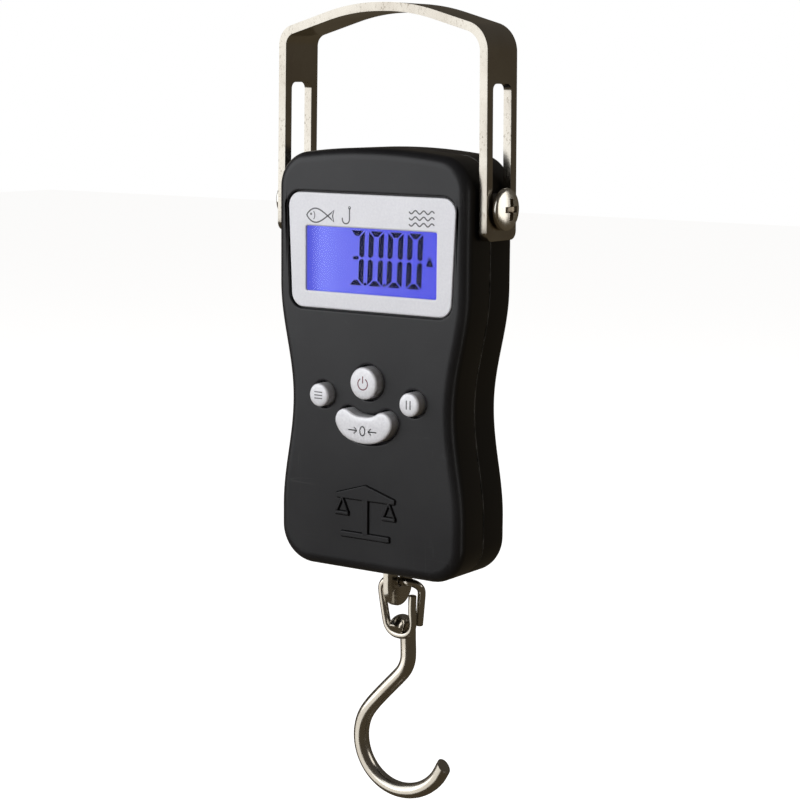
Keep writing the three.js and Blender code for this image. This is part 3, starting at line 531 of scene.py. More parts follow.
def noise(tree, where, scale, detail=4.0, rough=0.5, stretch=None):
    """A Noise Texture's value; where is a vector socket, stretch scales its three directions."""
    if stretch is not None:
        mapping = tree.nodes.new("ShaderNodeMapping")
        mapping.inputs["Scale"].default_value = stretch
        tree.links.new(where, mapping.inputs["Vector"])
        where = mapping.outputs[0]
    made = tree.nodes.new("ShaderNodeTexNoise")
    tree.links.new(where, made.inputs["Vector"])
    if isinstance(scale, bpy.types.NodeSocket):
        tree.links.new(scale, made.inputs["Scale"])
    else:
        made.inputs["Scale"].default_value = scale
    made.inputs["Detail"].default_value = detail
    made.inputs["Roughness"].default_value = rough
    return made.outputs["Fac"]


def span(tree, value, low, high, to_low=0.0, to_high=1.0):
    """Map Range with clamping."""
    made = tree.nodes.new("ShaderNodeMapRange")
    made.clamp = True
    tree.links.new(value, made.inputs[0])
    for i, x in enumerate((low, high, to_low, to_high)):
        if isinstance(x, bpy.types.NodeSocket):
            tree.links.new(x, made.inputs[i + 1])
        else:
            made.inputs[i + 1].default_value = x
    return made.outputs[0]


def blend_colour(tree, share, a, b):
    """Mix of two colours; each is a socket or a colour."""
    made = tree.nodes.new("ShaderNodeMix")
    made.data_type = "RGBA"
    for index, value in ((0, share), (6, a), (7, b)):
        if isinstance(value, bpy.types.NodeSocket):
            tree.links.new(value, made.inputs[index])
        else:
            made.inputs[index].default_value = value if index == 0 else (*value[:3], 1)
    return made.outputs[2]


def new_group(name, inputs, outputs):
    """A shader node group with float inputs {name: value} and outputs {name: kind}."""
    group = bpy.data.node_groups.new(name, "ShaderNodeTree")
    for key, value in inputs.items():
        kind = "NodeSocketColor" if isinstance(value, tuple) else "NodeSocketFloat"
        made = group.interface.new_socket(name=key, in_out="INPUT", socket_type=kind)
        made.default_value = (*value, 1) if isinstance(value, tuple) else value
    for key, kind in outputs.items():
        group.interface.new_socket(name=key, in_out="OUTPUT", socket_type=f"NodeSocket{kind}")
    entry = group.nodes.new("NodeGroupInput")
    leave = group.nodes.new("NodeGroupOutput")
    return group, entry.outputs, leave.inputs


def object_place(tree):
    return tree.nodes.new("ShaderNodeTexCoord").outputs["Object"]


def grain_group():
    """Fine grain of moulded plastic or paint: two noises, one for colour and one for relief."""
    group, given, result = new_group(
        "fine_grain", {"Grain Scale": 4000.0, "Mottle Scale": 60.0},
        {"Grain": "Float", "Mottle": "Float"})
    where = object_place(group)
    group.links.new(noise(group, where, given["Grain Scale"], 3, 0.6), result["Grain"])
    group.links.new(noise(group, where, given["Mottle Scale"], 4, 0.55), result["Mottle"])
    return group


def scratch_group():
    """Hairline scratches: thin ridges of two stretched noises, kept only in patches."""
    group, given, result = new_group("hairlines", {"Amount": 0.5, "Scale": 260.0}, {"Mask": "Float"})
    where = object_place(group)
    total = None
    for stretch in ((1.0, 0.6, 0.05), (0.07, 0.6, 1.0)):
        line = noise(group, where, given["Scale"], 2, 0.5, stretch)
        off_middle = maths(group, "ABSOLUTE", maths(group, "SUBTRACT", line, 0.5))
        ridge = span(group, off_middle, 0.0, 0.006, 1.0, 0.0)
        total = ridge if total is None else maths(group, "MAXIMUM", total, ridge)
    patches = span(group, noise(group, where, 45.0, 3, 0.5), 0.52, 0.68)
    mask = maths(group, "MULTIPLY", maths(group, "MULTIPLY", total, patches), given["Amount"], clamp=True)
    group.links.new(mask, result["Mask"])
    return group


def plating_group():
    """Bright plating: slow streaks along the part, small pits, and warmer, duller patches."""
    group, given, result = new_group(
        "plating", {"Bright": (0.78, 0.75, 0.70), "Dull": (0.52, 0.47, 0.40), "Polish": 0.12,
                    "Streak Scale": 900.0},
        {"Color": "Color", "Roughness": "Float", "Relief": "Float"})
    where = object_place(group)
    patches = span(group, noise(group, where, 70.0, 5, 0.6), 0.42, 0.72)
    streaks = noise(group, where, given["Streak Scale"], 3, 0.6, (1.0, 1.0, 0.06))
    pits = span(group, noise(group, where, 1500.0, 2, 0.5), 0.66, 0.74)
    share = maths(group, "MULTIPLY_ADD", pits, 0.35, maths(group, "MULTIPLY", patches, 0.5), clamp=True)
    group.links.new(blend_colour(group, share, given["Bright"], given["Dull"]), result["Color"])
    rough = maths(group, "MULTIPLY_ADD", streaks, 0.10, given["Polish"])
    rough = maths(group, "MULTIPLY_ADD", patches, 0.07, rough)
    group.links.new(rough, result["Roughness"])
    relief = maths(group, "MULTIPLY_ADD", pits, -0.6, maths(group, "MULTIPLY", streaks, 0.4))
    group.links.new(relief, result["Relief"])
    return group


def seam_group():
    """How close a point is to the line where the two shells meet, broken up along it."""
    group, given, result = new_group(
        "seam_scuffs", {"Seam Depth": -0.0004, "Width": 0.0004}, {"Mask": "Float"})
    where = object_place(group)
    split = group.nodes.new("ShaderNodeSeparateXYZ")
    group.links.new(where, split.inputs[0])
    away = maths(group, "ABSOLUTE", maths(group, "SUBTRACT", split.outputs["Y"], given["Seam Depth"]))
    near = span(group, away, 0.0, given["Width"], 1.0, 0.0)
    broken = span(group, noise(group, where, 140.0, 4, 0.6, (1.0, 0.2, 1.0)), 0.40, 0.60)
    group.links.new(maths(group, "MULTIPLY", near, broken), result["Mask"])
    return group


def torn_edge_group():
    """Specks on a strip's sheared edges: fine stretched noise, thinned out in patches, kept where
    the distance from the middle plane is that of the outer or the inner cut edge."""
    group, given, result = new_group(
        "torn_edge", {"Outer Edge": 0.0066, "Inner Edge": 0.0041}, {"Mask": "Float"})
    where = object_place(group)
    split = group.nodes.new("ShaderNodeSeparateXYZ")
    group.links.new(where, split.inputs[0])
    away = maths(group, "ABSOLUTE", split.outputs["Y"])
    outer = maths(group, "GREATER_THAN", away, given["Outer Edge"])
    from_inner = maths(group, "ABSOLUTE", maths(group, "SUBTRACT", away, given["Inner Edge"]))
    edge = maths(group, "MAXIMUM", outer, maths(group, "LESS_THAN", from_inner, 0.00012))
    speck = span(group, noise(group, where, 2300.0, 3, 0.65, (1.0, 1.0, 0.55)), 0.56, 0.66)
    patch = span(group, noise(group, where, 110.0, 3, 0.5), 0.40, 0.62)
    group.links.new(maths(group, "MULTIPLY", edge, maths(group, "MULTIPLY", speck, patch)),
                    result["Mask"])
    return group


TORN_EDGE = torn_edge_group()
STRAP_EDGE, SLOT_EDGE = 0.0064, 0.0041
GRAIN = grain_group()
HAIRLINES = scratch_group()
PLATING = plating_group()
SEAM = seam_group()


def use(tree, group, **values):
    """Places a group in a material with its own values; an underscore in a key is a space."""
    made = tree.nodes.new("ShaderNodeGroup")
    made.node_tree = group
    for key, value in values.items():
        made.inputs[key.replace("_", " ")].default_value = (
            (*value, 1) if isinstance(value, tuple) else value)
    return made.outputs


def finish(name, colour, roughness, metallic=0.0, **sockets):
    """A Principled material with plain values; gives back (material, tree, shader)."""
    made = bpy.data.materials.new(name)
    made.use_nodes = True
    tree = made.node_tree
    shader = tree.nodes["Principled BSDF"]
    shader.inputs["Base Color"].default_value = (*colour, 1)
    shader.inputs["Roughness"].default_value = roughness
    shader.inputs["Metallic"].default_value = metallic
    for key, value in sockets.items():
        shader.inputs[key.replace("_", " ")].default_value = (
            (*value, 1) if isinstance(value, tuple) else value)
    return made, tree, shader


def bump(tree, shader, height, strength, distance):
    made = tree.nodes.new("ShaderNodeBump")
    made.inputs["Strength"].default_value = strength
    made.inputs["Distance"].default_value = distance
    tree.links.new(height, made.inputs["Height"])
    tree.links.new(made.outputs[0], shader.inputs["Normal"])


def moulded_plastic(name, colour, worn, roughness, seam=False, relief=0.18, scratches=0.35):
    """Satin moulded plastic: fine spark-eroded grain, slow mottling, hairlines and a worn seam."""
    made, tree, shader = finish(name, colour, roughness)
    grain = use(tree, GRAIN, Grain_Scale=2600.0, Mottle_Scale=40.0)
    lines = use(tree, HAIRLINES, Amount=scratches, Scale=210.0)
    wear = lines["Mask"]
    tone = blend_colour(tree, span(tree, grain["Mottle"], 0.3, 0.7, 0.0, 0.06), colour, worn)
    tone = blend_colour(tree, wear, tone, worn)
    if seam:
        scuffs = use(tree, SEAM, Seam_Depth=-0.0004, Width=0.00045)
        tone = blend_colour(tree, scuffs["Mask"], tone, (0.34, 0.34, 0.33))
    tree.links.new(tone, shader.inputs["Base Color"])
    rough = maths(tree, "MULTIPLY_ADD", grain["Mottle"], 0.03, roughness - 0.015)
    tree.links.new(maths(tree, "MULTIPLY_ADD", wear, 0.12, rough), shader.inputs["Roughness"])
    bump(tree, shader, grain["Grain"], relief, 0.00003)
    return made


def plated(name, bright, dull, polish, relief=0.12, streak=900.0, sheared=None):
    """Bright nickel plate with streaks, pits and duller patches; sheared gives the distances from
    the middle plane at which a strip's cut edges lie, which carry dark tear-out specks."""
    made, tree, shader = finish(name, bright, polish, 1.0)
    look = use(tree, PLATING, Bright=bright, Dull=dull, Polish=polish, Streak_Scale=streak)
    colour = look["Color"]
    if sheared:
        torn = use(tree, TORN_EDGE, Outer_Edge=sheared[0], Inner_Edge=sheared[1])["Mask"]
        colour = blend_colour(tree, maths(tree, "MULTIPLY", torn, 0.8), colour, (0.20, 0.17, 0.13))
    tree.links.new(colour, shader.inputs["Base Color"])
    tree.links.new(look["Roughness"], shader.inputs["Roughness"])
    bump(tree, shader, look["Relief"], relief, 0.00002)
    return made


def painted(name, colour, shade, roughness, metallic, flake=1800.0, relief=0.1):
    """Silver paint: fine flake in colour and relief under a slow mottling."""
    made, tree, shader = finish(name, colour, roughness, metallic)
    grain = use(tree, GRAIN, Grain_Scale=flake, Mottle_Scale=120.0)
    mottle = maths(tree, "MULTIPLY", grain["Mottle"], 0.3)
    share = maths(tree, "MULTIPLY_ADD", grain["Grain"], 0.7, mottle)
    tree.links.new(blend_colour(tree, span(tree, share, 0.35, 0.65), colour, shade),
                   shader.inputs["Base Color"])
    tree.links.new(maths(tree, "MULTIPLY_ADD", grain["Mottle"], 0.1, roughness - 0.05),
                   shader.inputs["Roughness"])
    bump(tree, shader, grain["Grain"], relief, 0.00002)
    return made


def lit_display(name):
    """A backlit blue screen: light from a lamp at the left end spreads and fades to the right,
    with faint upright banding and darker rims."""
    made, tree, shader = finish(name, (0.01, 0.01, 0.05), 0.5, Specular_IOR_Level=0.0)
    where = object_place(tree)
    split = tree.nodes.new("ShaderNodeSeparateXYZ")
    tree.links.new(where, split.inputs[0])
    across = span(tree, split.outputs["X"], -0.0197, 0.0197)
    ramp = tree.nodes.new("ShaderNodeValToRGB")
    ramp.color_ramp.interpolation = "EASE"
    stops = [(0.0, (0.105, 0.115, 0.70)), (0.10, (0.190, 0.215, 0.88)), (0.30, (0.145, 0.160, 0.80)),
             (0.62, (0.105, 0.112, 0.72)), (0.88, (0.080, 0.086, 0.70)), (1.0, (0.075, 0.082, 0.72))]
    while len(ramp.color_ramp.elements) < len(stops):
        ramp.color_ramp.elements.new(0.5)
    for element, (position, colour) in zip(ramp.color_ramp.elements, stops):
        element.position = position
        element.color = (*colour, 1)
    tree.links.new(across, ramp.inputs[0])
    bands = noise(tree, where, 500.0, 2, 0.5, (1.0, 1.0, 0.08))
    share = span(tree, bands, 0.3, 0.7, 0.0, 0.10)
    shade = blend_colour(tree, share, ramp.outputs[0], (0.06, 0.065, 0.55))
    tree.links.new(shade, shader.inputs["Emission Color"])
    shader.inputs["Emission Strength"].default_value = 1.0
    return made


case_black = moulded_plastic("case_black_plastic", (0.0075, 0.0075, 0.009), (0.13, 0.13, 0.13), 0.36,
                             seam=True, scratches=0.12)
bail_nickel = plated("bail_nickel_plate", (0.56, 0.525, 0.46), (0.40, 0.35, 0.29), 0.13,
                     sheared=(STRAP_EDGE, SLOT_EDGE))
hook_nickel = plated("hook_nickel_plate", (0.62, 0.59, 0.53), (0.37, 0.31, 0.25), 0.14, 0.04, 500.0)
screw_nickel = plated("screw_nickel_plate", (0.80, 0.77, 0.70), (0.50, 0.45, 0.38), 0.16, 0.05)
# Near-black matt for the sheet laid round the balance mark: painted shadow along the mark's edges.
mark_painted_shadow, _, _ = finish("mark_root_painted_shadow", (0.003, 0.003, 0.003), 0.8, Specular_IOR_Level=0.15)
# Darker, rougher nickel for the faces inside the screws' cross recesses: painted shade in the recess.
recess_painted_shade = plated("screw_recess_painted_shade", (0.26, 0.22, 0.17), (0.10, 0.085, 0.065), 0.28)
plain_steel = plated("plain_steel", (0.50, 0.49, 0.47), (0.34, 0.33, 0.31), 0.30)
silver_paint = painted("panel_silver_paint", (0.76, 0.76, 0.79), (0.70, 0.70, 0.735), 0.36, 0.18)
button_paint = painted("button_silver_paint", (0.86, 0.86, 0.885), (0.74, 0.74, 0.77), 0.34, 0.25,
                       flake=1500.0, relief=0.2)
print_grey = moulded_plastic("print_ink_grey", (0.10, 0.10, 0.11), (0.14, 0.14, 0.15), 0.45, scratches=0.0)
print_red = moulded_plastic("print_ink_red", (0.16, 0.035, 0.06), (0.22, 0.07, 0.09), 0.45, scratches=0.0)
digit_dark, _, _ = finish("digit_dark", (0.006, 0.006, 0.030), 0.7, Specular_IOR_Level=0.0)
display_blue = lit_display("display_blue")
label_white = moulded_plastic("label_paper", (0.62, 0.62, 0.60), (0.50, 0.50, 0.48), 0.5, scratches=0.1)
rubber_dark = moulded_plastic("rubber_dark", (0.03, 0.03, 0.032), (0.05, 0.05, 0.052), 0.75, scratches=0.0)
board_green = moulded_plastic("board_lacquer", (0.015, 0.10, 0.035), (0.02, 0.16, 0.06), 0.35,
                              scratches=0.0)
chip_black = moulded_plastic("chip_resin", (0.012, 0.012, 0.014), (0.03, 0.03, 0.03), 0.5, scratches=0.0)
gauge_amber = moulded_plastic("gauge_film", (0.5, 0.22, 0.05), (0.4, 0.2, 0.05), 0.4, scratches=0.0)
cell_alloy = plated("cell_alloy", (0.62, 0.63, 0.64), (0.5, 0.5, 0.5), 0.34)
cell_wrap = painted("battery_wrap", (0.10, 0.12, 0.15), (0.07, 0.08, 0.10), 0.3, 0.3)
contact_brass = plated("contact_plate", (0.72, 0.66, 0.50), (0.55, 0.48, 0.34), 0.25)
backlight_white = moulded_plastic("light_guide", (0.75, 0.77, 0.85), (0.7, 0.72, 0.8), 0.4, scratches=0.0)
lead_red = moulded_plastic("lead_red_sleeve", (0.40, 0.02, 0.015), (0.45, 0.05, 0.04), 0.5, scratches=0.0)
lead_black = moulded_plastic("lead_black_sleeve", (0.015, 0.015, 0.015), (0.03, 0.03, 0.03), 0.5,
                             scratches=0.0)
window_clear, _, _ = finish("window_clear", (0.97, 0.98, 1.0), 0.02, Transmission_Weight=1.0, IOR=1.12)


# ---------------------------------------------------------------- the case's outline
def case_outline():
    """Anticlockwise from the middle of the bottom: corner arc, hips, waist and shoulders, where the
    side draws in and out by half cosine waves, then corner arc and the shallow arch of the top."""
    low_x = CASE_HALF - HIP_INSET - LOW_CORNER
    low = arc((low_x, CASE_BOTTOM + LOW_CORNER), LOW_CORNER, -90, 0, 22)
    level = np.linspace(HIP, SHOULDER, 72)
    draw = ease((level - SHOULDER) / (WAIST - SHOULDER))
    flare = ease((level - WAIST) / (HIP - WAIST))
    side = np.stack([CASE_HALF - WAIST_INSET * draw + (WAIST_INSET - HIP_INSET) * flare, level], 1)
    crown_z = CASE_TOP - CROWN
    corner_x = CASE_HALF - TOP_CORNER
    corner_z = crown_z + math.sqrt((CROWN - TOP_CORNER) ** 2 - corner_x ** 2)
    lean = math.degrees(math.atan2(corner_z - crown_z, corner_x))
    straight = np.stack([np.full(6, CASE_HALF), np.linspace(SHOULDER, corner_z, 8)[1:-1]], 1)
    high = arc((corner_x, corner_z), TOP_CORNER, 0, lean, 22)
    crown = arc((0, crown_z), CROWN, lean, 90, 12)[1:]
    flat = np.stack([np.linspace(0, low_x, 6)[:-1], np.full(5, CASE_BOTTOM)], 1)
    right = np.concatenate([flat, low, side, straight, high, crown])
    return np.concatenate([right, (right[1:-1] * [-1, 1])[::-1]])


def panel_outline(grow=0.0):
    """The silver panel: a rounded figure wider at the top than at the bottom."""
    top, low = 25.3 + grow, 24.0 + grow
    radius = 3.6 + grow
    return rounded([[-low, -26.2 - grow, radius], [low, -26.2 - grow, radius],
                    [top, 2.7 + grow, radius], [-top, 2.7 + grow, radius]], 14)


def bent(a, b, c, steps=12):
    """A quadratic curve from a to c that leans on b: (1-t)^2 a + 2t(1-t) b + t^2 c."""
    t = np.linspace(0, 1, steps)[:, None]
    a, b, c = (np.asarray(p, float) for p in (a, b, c))
    return (1 - t) ** 2 * a + 2 * t * (1 - t) * b + t ** 2 * c


def kidney_outline(grow=0.0):
    """The crescent key: two round lobes, a dip between them above and a full chin below."""
    lobe = 2.9 + grow
    lobe_x, lobe_z = 5.7, -53.5
    dip, chin = (0, -52.1 + grow), (0, -59.0 - grow)
    lean = math.radians(62)
    inside = (lobe_x - lobe * math.cos(lean), lobe_z + lobe * math.sin(lean))
    hip = (lobe_x + lobe * math.cos(0.5), lobe_z - lobe * math.sin(0.5))
    right = np.concatenate([
        bent(chin, (hip[0] - 1.9, chin[1] + 0.15), hip, 14)[:-1],
        arc((lobe_x, lobe_z), lobe, math.degrees(-0.5), 180 - 62, 24),
        bent(inside, (inside[0] * 0.55, dip[1] - 0.2), dip, 10)[1:]])
    left = (right[1:-1] * [-1, 1])[::-1]
    return np.concatenate([right, left])


OUTLINE = case_outline()
WINDOW_LOW, WINDOW_HIGH, WINDOW_HALF = -21.95, -5.65, 19.7
POCKET_FLOOR = FRONT + 1.2
KEYS = {"set": (-13.7, -47.9, 2.95), "hold": (13.7, -47.9, 2.95), "power": (0.0, -43.8, 4.05)}
KEY_GAP = 0.55


def side_cuts():
    """Round holes for the pivot screws through both sides, and the slot for the tongue."""
    holes = Skin()
    turned(holes, [(2.5, -40), (2.5, 40)], 40, "x")
    slot = Skin()
    plate(slot, rectangle(1.45, CASE_BOTTOM - 3, CASE_BOTTOM + 8, 0.3, 3), -3.1, 9.1)
    return [holes, slot]


def rim(radius, face=FRONT, floor=POCKET_FLOOR, towards=1):
    """A hole's rounded rim and its wall: flat ring, quarter circle outwards, then straight in."""
    angle = np.linspace(0, np.pi / 2, 6)
    profile = [(-radius - 0.3, face)]
    profile += [(-radius * (1 - math.sin(a)), face + towards * radius * (1 - math.cos(a)))
                for a in angle]
    return profile + [(0, floor)]


def outer_skin(skin, start, parting, face, towards):
    """A shell's outside: from the inset start along the parting line, over the seam's small round
    and up the side, then over the rounded edge to the face. towards is 1 where the material lies
    behind the face."""
    seam = [(SEAM_ROUND * (1 - math.sin(a)), parting - towards * SEAM_ROUND * (1 - math.cos(a)))
            for a in np.linspace(0, np.pi / 2, 5)]
    edge = [(EDGE_ROUND * (1 - math.cos(a)), face + towards * EDGE_ROUND * (1 - math.sin(a)))
            for a in np.linspace(0, np.pi / 2, 13)]
    return walls(skin, OUTLINE, [(start, parting), (0.5, parting), *seam, *edge,
                                 (EDGE_ROUND + 0.35, face)])


def front_shell():
    """Outer skin from the parting line over the rounded edge to the face, walls of the pocket,
    window and key holes, and the inner skin back to the parting line."""
    skin = Skin()
    outer = outer_skin(skin, WALL, PARTING_FRONT, FRONT, 1)
    inner = walls(skin, OUTLINE, [
        (WALL, PARTING_FRONT), (WALL, INNER_FRONT + 0.8), (WALL + 0.25, INNER_FRONT + 0.25),
        (WALL + 0.8, INNER_FRONT)])
    pocket = walls(skin, panel_outline(0.42), rim(0.3))
    opening = rectangle(WINDOW_HALF + 0.8, WINDOW_LOW - 0.8, WINDOW_HIGH + 0.8, 0.8)
    window = walls(skin, opening, [(0, POCKET_FLOOR), (0, INNER_FRONT)])
    holes = [circle(x, z, radius + KEY_GAP) for x, z, radius in KEYS.values()]
    holes.append(kidney_outline(KEY_GAP))
    keys = [walls(skin, hole, rim(0.3, floor=INNER_FRONT)) for hole in holes]
    skin.fill(outer[-1], pocket[0], *[key[0] for key in keys])
    skin.fill(pocket[-1], window[0])
    skin.fill(inner[-1], window[-1], *[key[-1] for key in keys])
    return skin


def balance_mark(face, root, grow=0.0):
    """A moulded picture of a balance, raised from the face: a low gable, a post, a foot and two
    hanging pans, each a small plate with rounded edges set into the face. With grow, every plate
    is made larger by grow with square edges, as a sheet of painted shadow round the mark."""
    skin = Skin()

    def bar(a, b, wide, edge=0.12):
        """A straight raised bar from a to b."""
        a, b = np.array(a, float), np.array(b, float)
        along = (b - a) / np.linalg.norm(b - a)
        across = np.array([-along[1], along[0]]) * (wide / 2 + grow)
        a, b = a - along * grow, b + along * grow
        ends = [a - across, b - across, b + across, a + across]
        plate(skin, rounded([[*p, wide * 0.3] for p in ends], 4), face, root, 0 if grow else edge)

    middle = -0.5
    gable = rounded([[-8.9, -73.7, 0.25], [8.9, -73.7, 0.25], [9.0, -72.6, 0.3], [0, -69.9, 0.6],
                     [-9.0, -72.6, 0.3]], 5) + [middle, 0]
    plate(skin, drawn_in(gable, -grow), face, root, 0 if grow else 0.12)
    bar((middle, -73.4), (middle, -82.6), 1.7, 0.12)
    bar((middle - 7.4, -82.9), (middle + 7.4, -82.9), 1.3, 0.12)
    for side in (-1, 1):
        pan = middle + side * 7.15
        bar((pan, -73.6), (pan + 1.75, -77.4), 0.5)
        bar((pan, -73.6), (pan - 1.75, -77.4), 0.5)
        bar((pan - 2.0, -77.6), (pan + 2.0, -77.6), 0.8)
    return skin


piece("case_front", front_shell(), case_black, "case", ["front_shell"],
      cutters=side_cuts())
piece("case_balance_mark", balance_mark(FRONT - 0.5, FRONT + 0.3), case_black, "case")
# The mark grown by 0.27, square-edged and only 0.025 proud of the face: a dark sheet of painted shadow
# round the mark's edges.
piece("case_balance_painted_shadow", balance_mark(FRONT - 0.025, FRONT + 0.3, 0.27), mark_painted_shadow, "case")


BAY_HALF, BAY_LOW, BAY_HIGH = 23.0, -28.3, -5.9
SCREW_SPOTS = [(-17.5, 8.2), (17.5, 8.2), (-19.0, -84.6), (19.0, -84.6)]


def rear_shell():
    """Outer skin from the parting line over the rounded edge to the back, the seat of the battery
    cover, the label's recess, four screw wells with their bosses, and the inner skin with the lip
    that closes the seam."""
    skin = Skin()
    outer = outer_skin(skin, WALL + 0.25, PARTING_BACK, BACK, -1)
    inner = walls(skin, OUTLINE, [
        (WALL + 0.25, PARTING_BACK), (WALL + 0.25, -2.0), (WALL + 1.25, -2.0), (WALL + 1.25, 2.6),
        (WALL, 2.6), (WALL, INNER_BACK - 0.8), (WALL + 0.25, INNER_BACK - 0.25),
        (WALL + 0.8, INNER_BACK)])
    seat = rectangle(BAY_HALF + 1.5, BAY_LOW - 1.5, BAY_HIGH + 1.5, 2.0)
    bay = rectangle(BAY_HALF, BAY_LOW, BAY_HIGH, 1.2)
    seat_walls = walls(skin, seat, rim(0.25, BACK, BACK - 1.2, -1))
    bay_walls = walls(skin, bay, [(0, BACK - 1.2), (0, INNER_BACK)])
    label = rectangle(17.3, -58.3, -35.7, 1.5)
    label_walls = walls(skin, label, rim(0.2, BACK, BACK - 0.6, -1))
    wells = []
    for x, z in SCREW_SPOTS:
        loop = circle(x, z, 2.65, 40)
        wells.append(walls(skin, loop, rim(0.3, BACK, 2.2, -1)
                           + [(1.15, 2.2), (1.15, -0.2), (-0.65, -0.2), (-0.65, INNER_BACK)]))
    skin.fill(outer[-1], seat_walls[0], label_walls[0], *[well[0] for well in wells])
    skin.fill(seat_walls[-1], bay_walls[0])
    skin.fill(label_walls[-1])
    skin.fill(inner[-1], bay_walls[-1], *[well[-1] for well in wells])
    return skin


piece("case_back", rear_shell(), case_black, "case", ["rear_shell"],
      cutters=side_cuts())


def battery_cover():
    """A plate with a rounded rim and three raised grip bars."""
    skin = Skin()
    plate(skin, rectangle(BAY_HALF + 1.2, BAY_LOW - 1.2, BAY_HIGH + 1.2, 1.8), BACK, BACK - 0.9, 0.25)
    for k in range(3):
        level = -26.2 + 1.8 * k
        plate(skin, rectangle(6, level - 0.4, level + 0.4, 0.38, 5), BACK + 0.4, BACK - 0.3, 0.2)
    return skin


piece("battery_door", battery_cover(), case_black, "battery_cover", ["battery_cover"])

label_skin = Skin()
plate(label_skin, rectangle(17.0, -58.0, -36.0, 1.3), BACK - 0.05, BACK - 0.3, 0.05, 2)
piece("back_label", label_skin, label_white, "case", ["rear_label"])


# ---------------------------------------------------------------- display
PANEL_FACE = FRONT + 0.3


def display_panel():
    """A thin plate with a rounded rim and a bevelled window."""
    skin = Skin()
    outer = walls(skin, panel_outline(), [
        (0, PANEL_FACE + 0.6), *quarter(0, PANEL_FACE, 0.3, 1, 6), (0.6, PANEL_FACE)])
    opening = rectangle(WINDOW_HALF, WINDOW_LOW, WINDOW_HIGH, 0.5, 5)
    window = walls(skin, opening, [
        (-0.5, PANEL_FACE), (-0.22, PANEL_FACE), (-0.05, PANEL_FACE + 0.10), (0, PANEL_FACE + 0.25),
        (0, PANEL_FACE + 0.6)])
    skin.fill(outer[-1], window[0])
    skin.fill(outer[0], window[-1])
    return skin


piece("silver_panel", display_panel(), silver_paint, "case", ["display_panel"])


def panel_marks():
    """Printed lines on the panel: a fish, a hook and line, and three waves."""
    skin = Skin()
    nose, tail = -19.4, -12.9
    t = np.linspace(0, 1, 24)
    for side in (-1, 1):
        belly = np.stack([nose + (tail - nose) * t, -3.0 + side * 1.75 * np.sin(np.pi * t ** 0.8)], 1)
        ribbon(skin, belly, 0.34, PANEL_FACE)
    ribbon(skin, [[tail, -3.0], [tail + 1.0, -2.3], [tail + 1.9, -1.5], [tail + 1.5, -3.0],
                  [tail + 1.9, -4.5], [tail + 1.0, -3.7], [tail, -3.0]], 0.34, PANEL_FACE)
    ribbon(skin, circle(nose + 1.35, -2.7, 0.2, 16), 0.22, PANEL_FACE, closed=True)
    ribbon(skin, arc((nose + 1.0, -3.0), 1.5, -38, 38, 9), 0.22, PANEL_FACE)
    hook = np.concatenate([[[-6.2, -0.9], [-6.2, -2.4]], arc((-7.3, -3.6), 1.1, 0, -190, 16)])
    ribbon(skin, hook, 0.34, PANEL_FACE)
    ribbon(skin, circle(-6.2, -0.75, 0.32, 16), 0.2, PANEL_FACE, closed=True)
    for level in (-1.0, -2.5, -4.0):
        x = np.linspace(-3.6, 3.6, 40)
        ribbon(skin, np.stack([15.3 + x, level + 0.4 * np.sin(x * 2.6)], 1), 0.34, PANEL_FACE)
    return skin


piece("panel_marks", panel_marks(), print_grey, "case")

window_skin = Skin()
plate(window_skin, rectangle(WINDOW_HALF + 0.5, WINDOW_LOW - 0.5, WINDOW_HIGH + 0.5, 0.6, 5),
      POCKET_FLOOR + 0.05, POCKET_FLOOR + 0.65, 0.08, 2)
piece("clear_window", window_skin, window_clear, "case", ["display_lens"])

GLASS_FACE = POCKET_FLOOR + 0.95


def digit(skin, x, segments, slant=0.04):
    """One figure of seven bars, 4.4 wide and 13.6 high: top and bottom are trapezoids, the sides are
    long bars with slanted ends, and the middle is a small lozenge. It leans a little."""
    half, top, low = 2.25, -6.35, -19.95
    middle = (top + low) / 2
    wide, gap, tall = 1.45, 0.5, 1.3
    corners = {
        "top": [[-half + gap, top], [half - gap, top], [half - gap - tall * 0.95, top - tall],
                [-half + gap + tall * 0.95, top - tall]],
        "bottom": [[-half + gap, low], [-half + gap + tall * 0.95, low + tall],
                   [half - gap - tall * 0.95, low + tall], [half - gap, low]],
        "middle": [[-1.2, middle], [-0.75, middle + 0.42], [0.3, middle + 0.42], [0.7, middle],
                   [0.3, middle - 0.42], [-0.75, middle - 0.42]],
    }
    for name, side, start, end in (("upper_right", 1, top, middle), ("lower_right", 1, low, middle),
                                   ("upper_left", -1, top, middle), ("lower_left", -1, low, middle)):
        way = 1 if end > start else -1
        corners[name] = [
            [side * (half - 0.12), start + way * 0.30], [side * half, start + way * 0.55],
            [side * half, end - way * 0.55], [side * (half - wide * 0.45), end - way * 0.16],
            [side * (half - wide), end - way * 0.75], [side * (half - wide), start + way * 1.55]]
    for name in segments:
        loop = np.array(corners[name], float)
        area = np.sum(loop[:, 0] * np.roll(loop[:, 1], -1) - loop[:, 1] * np.roll(loop[:, 0], -1))
        loop = loop if area > 0 else loop[::-1]
        loop[:, 0] += x + (loop[:, 1] - middle) * slant
        plate(skin, loop, GLASS_FACE - 0.12, GLASS_FACE - 0.02)


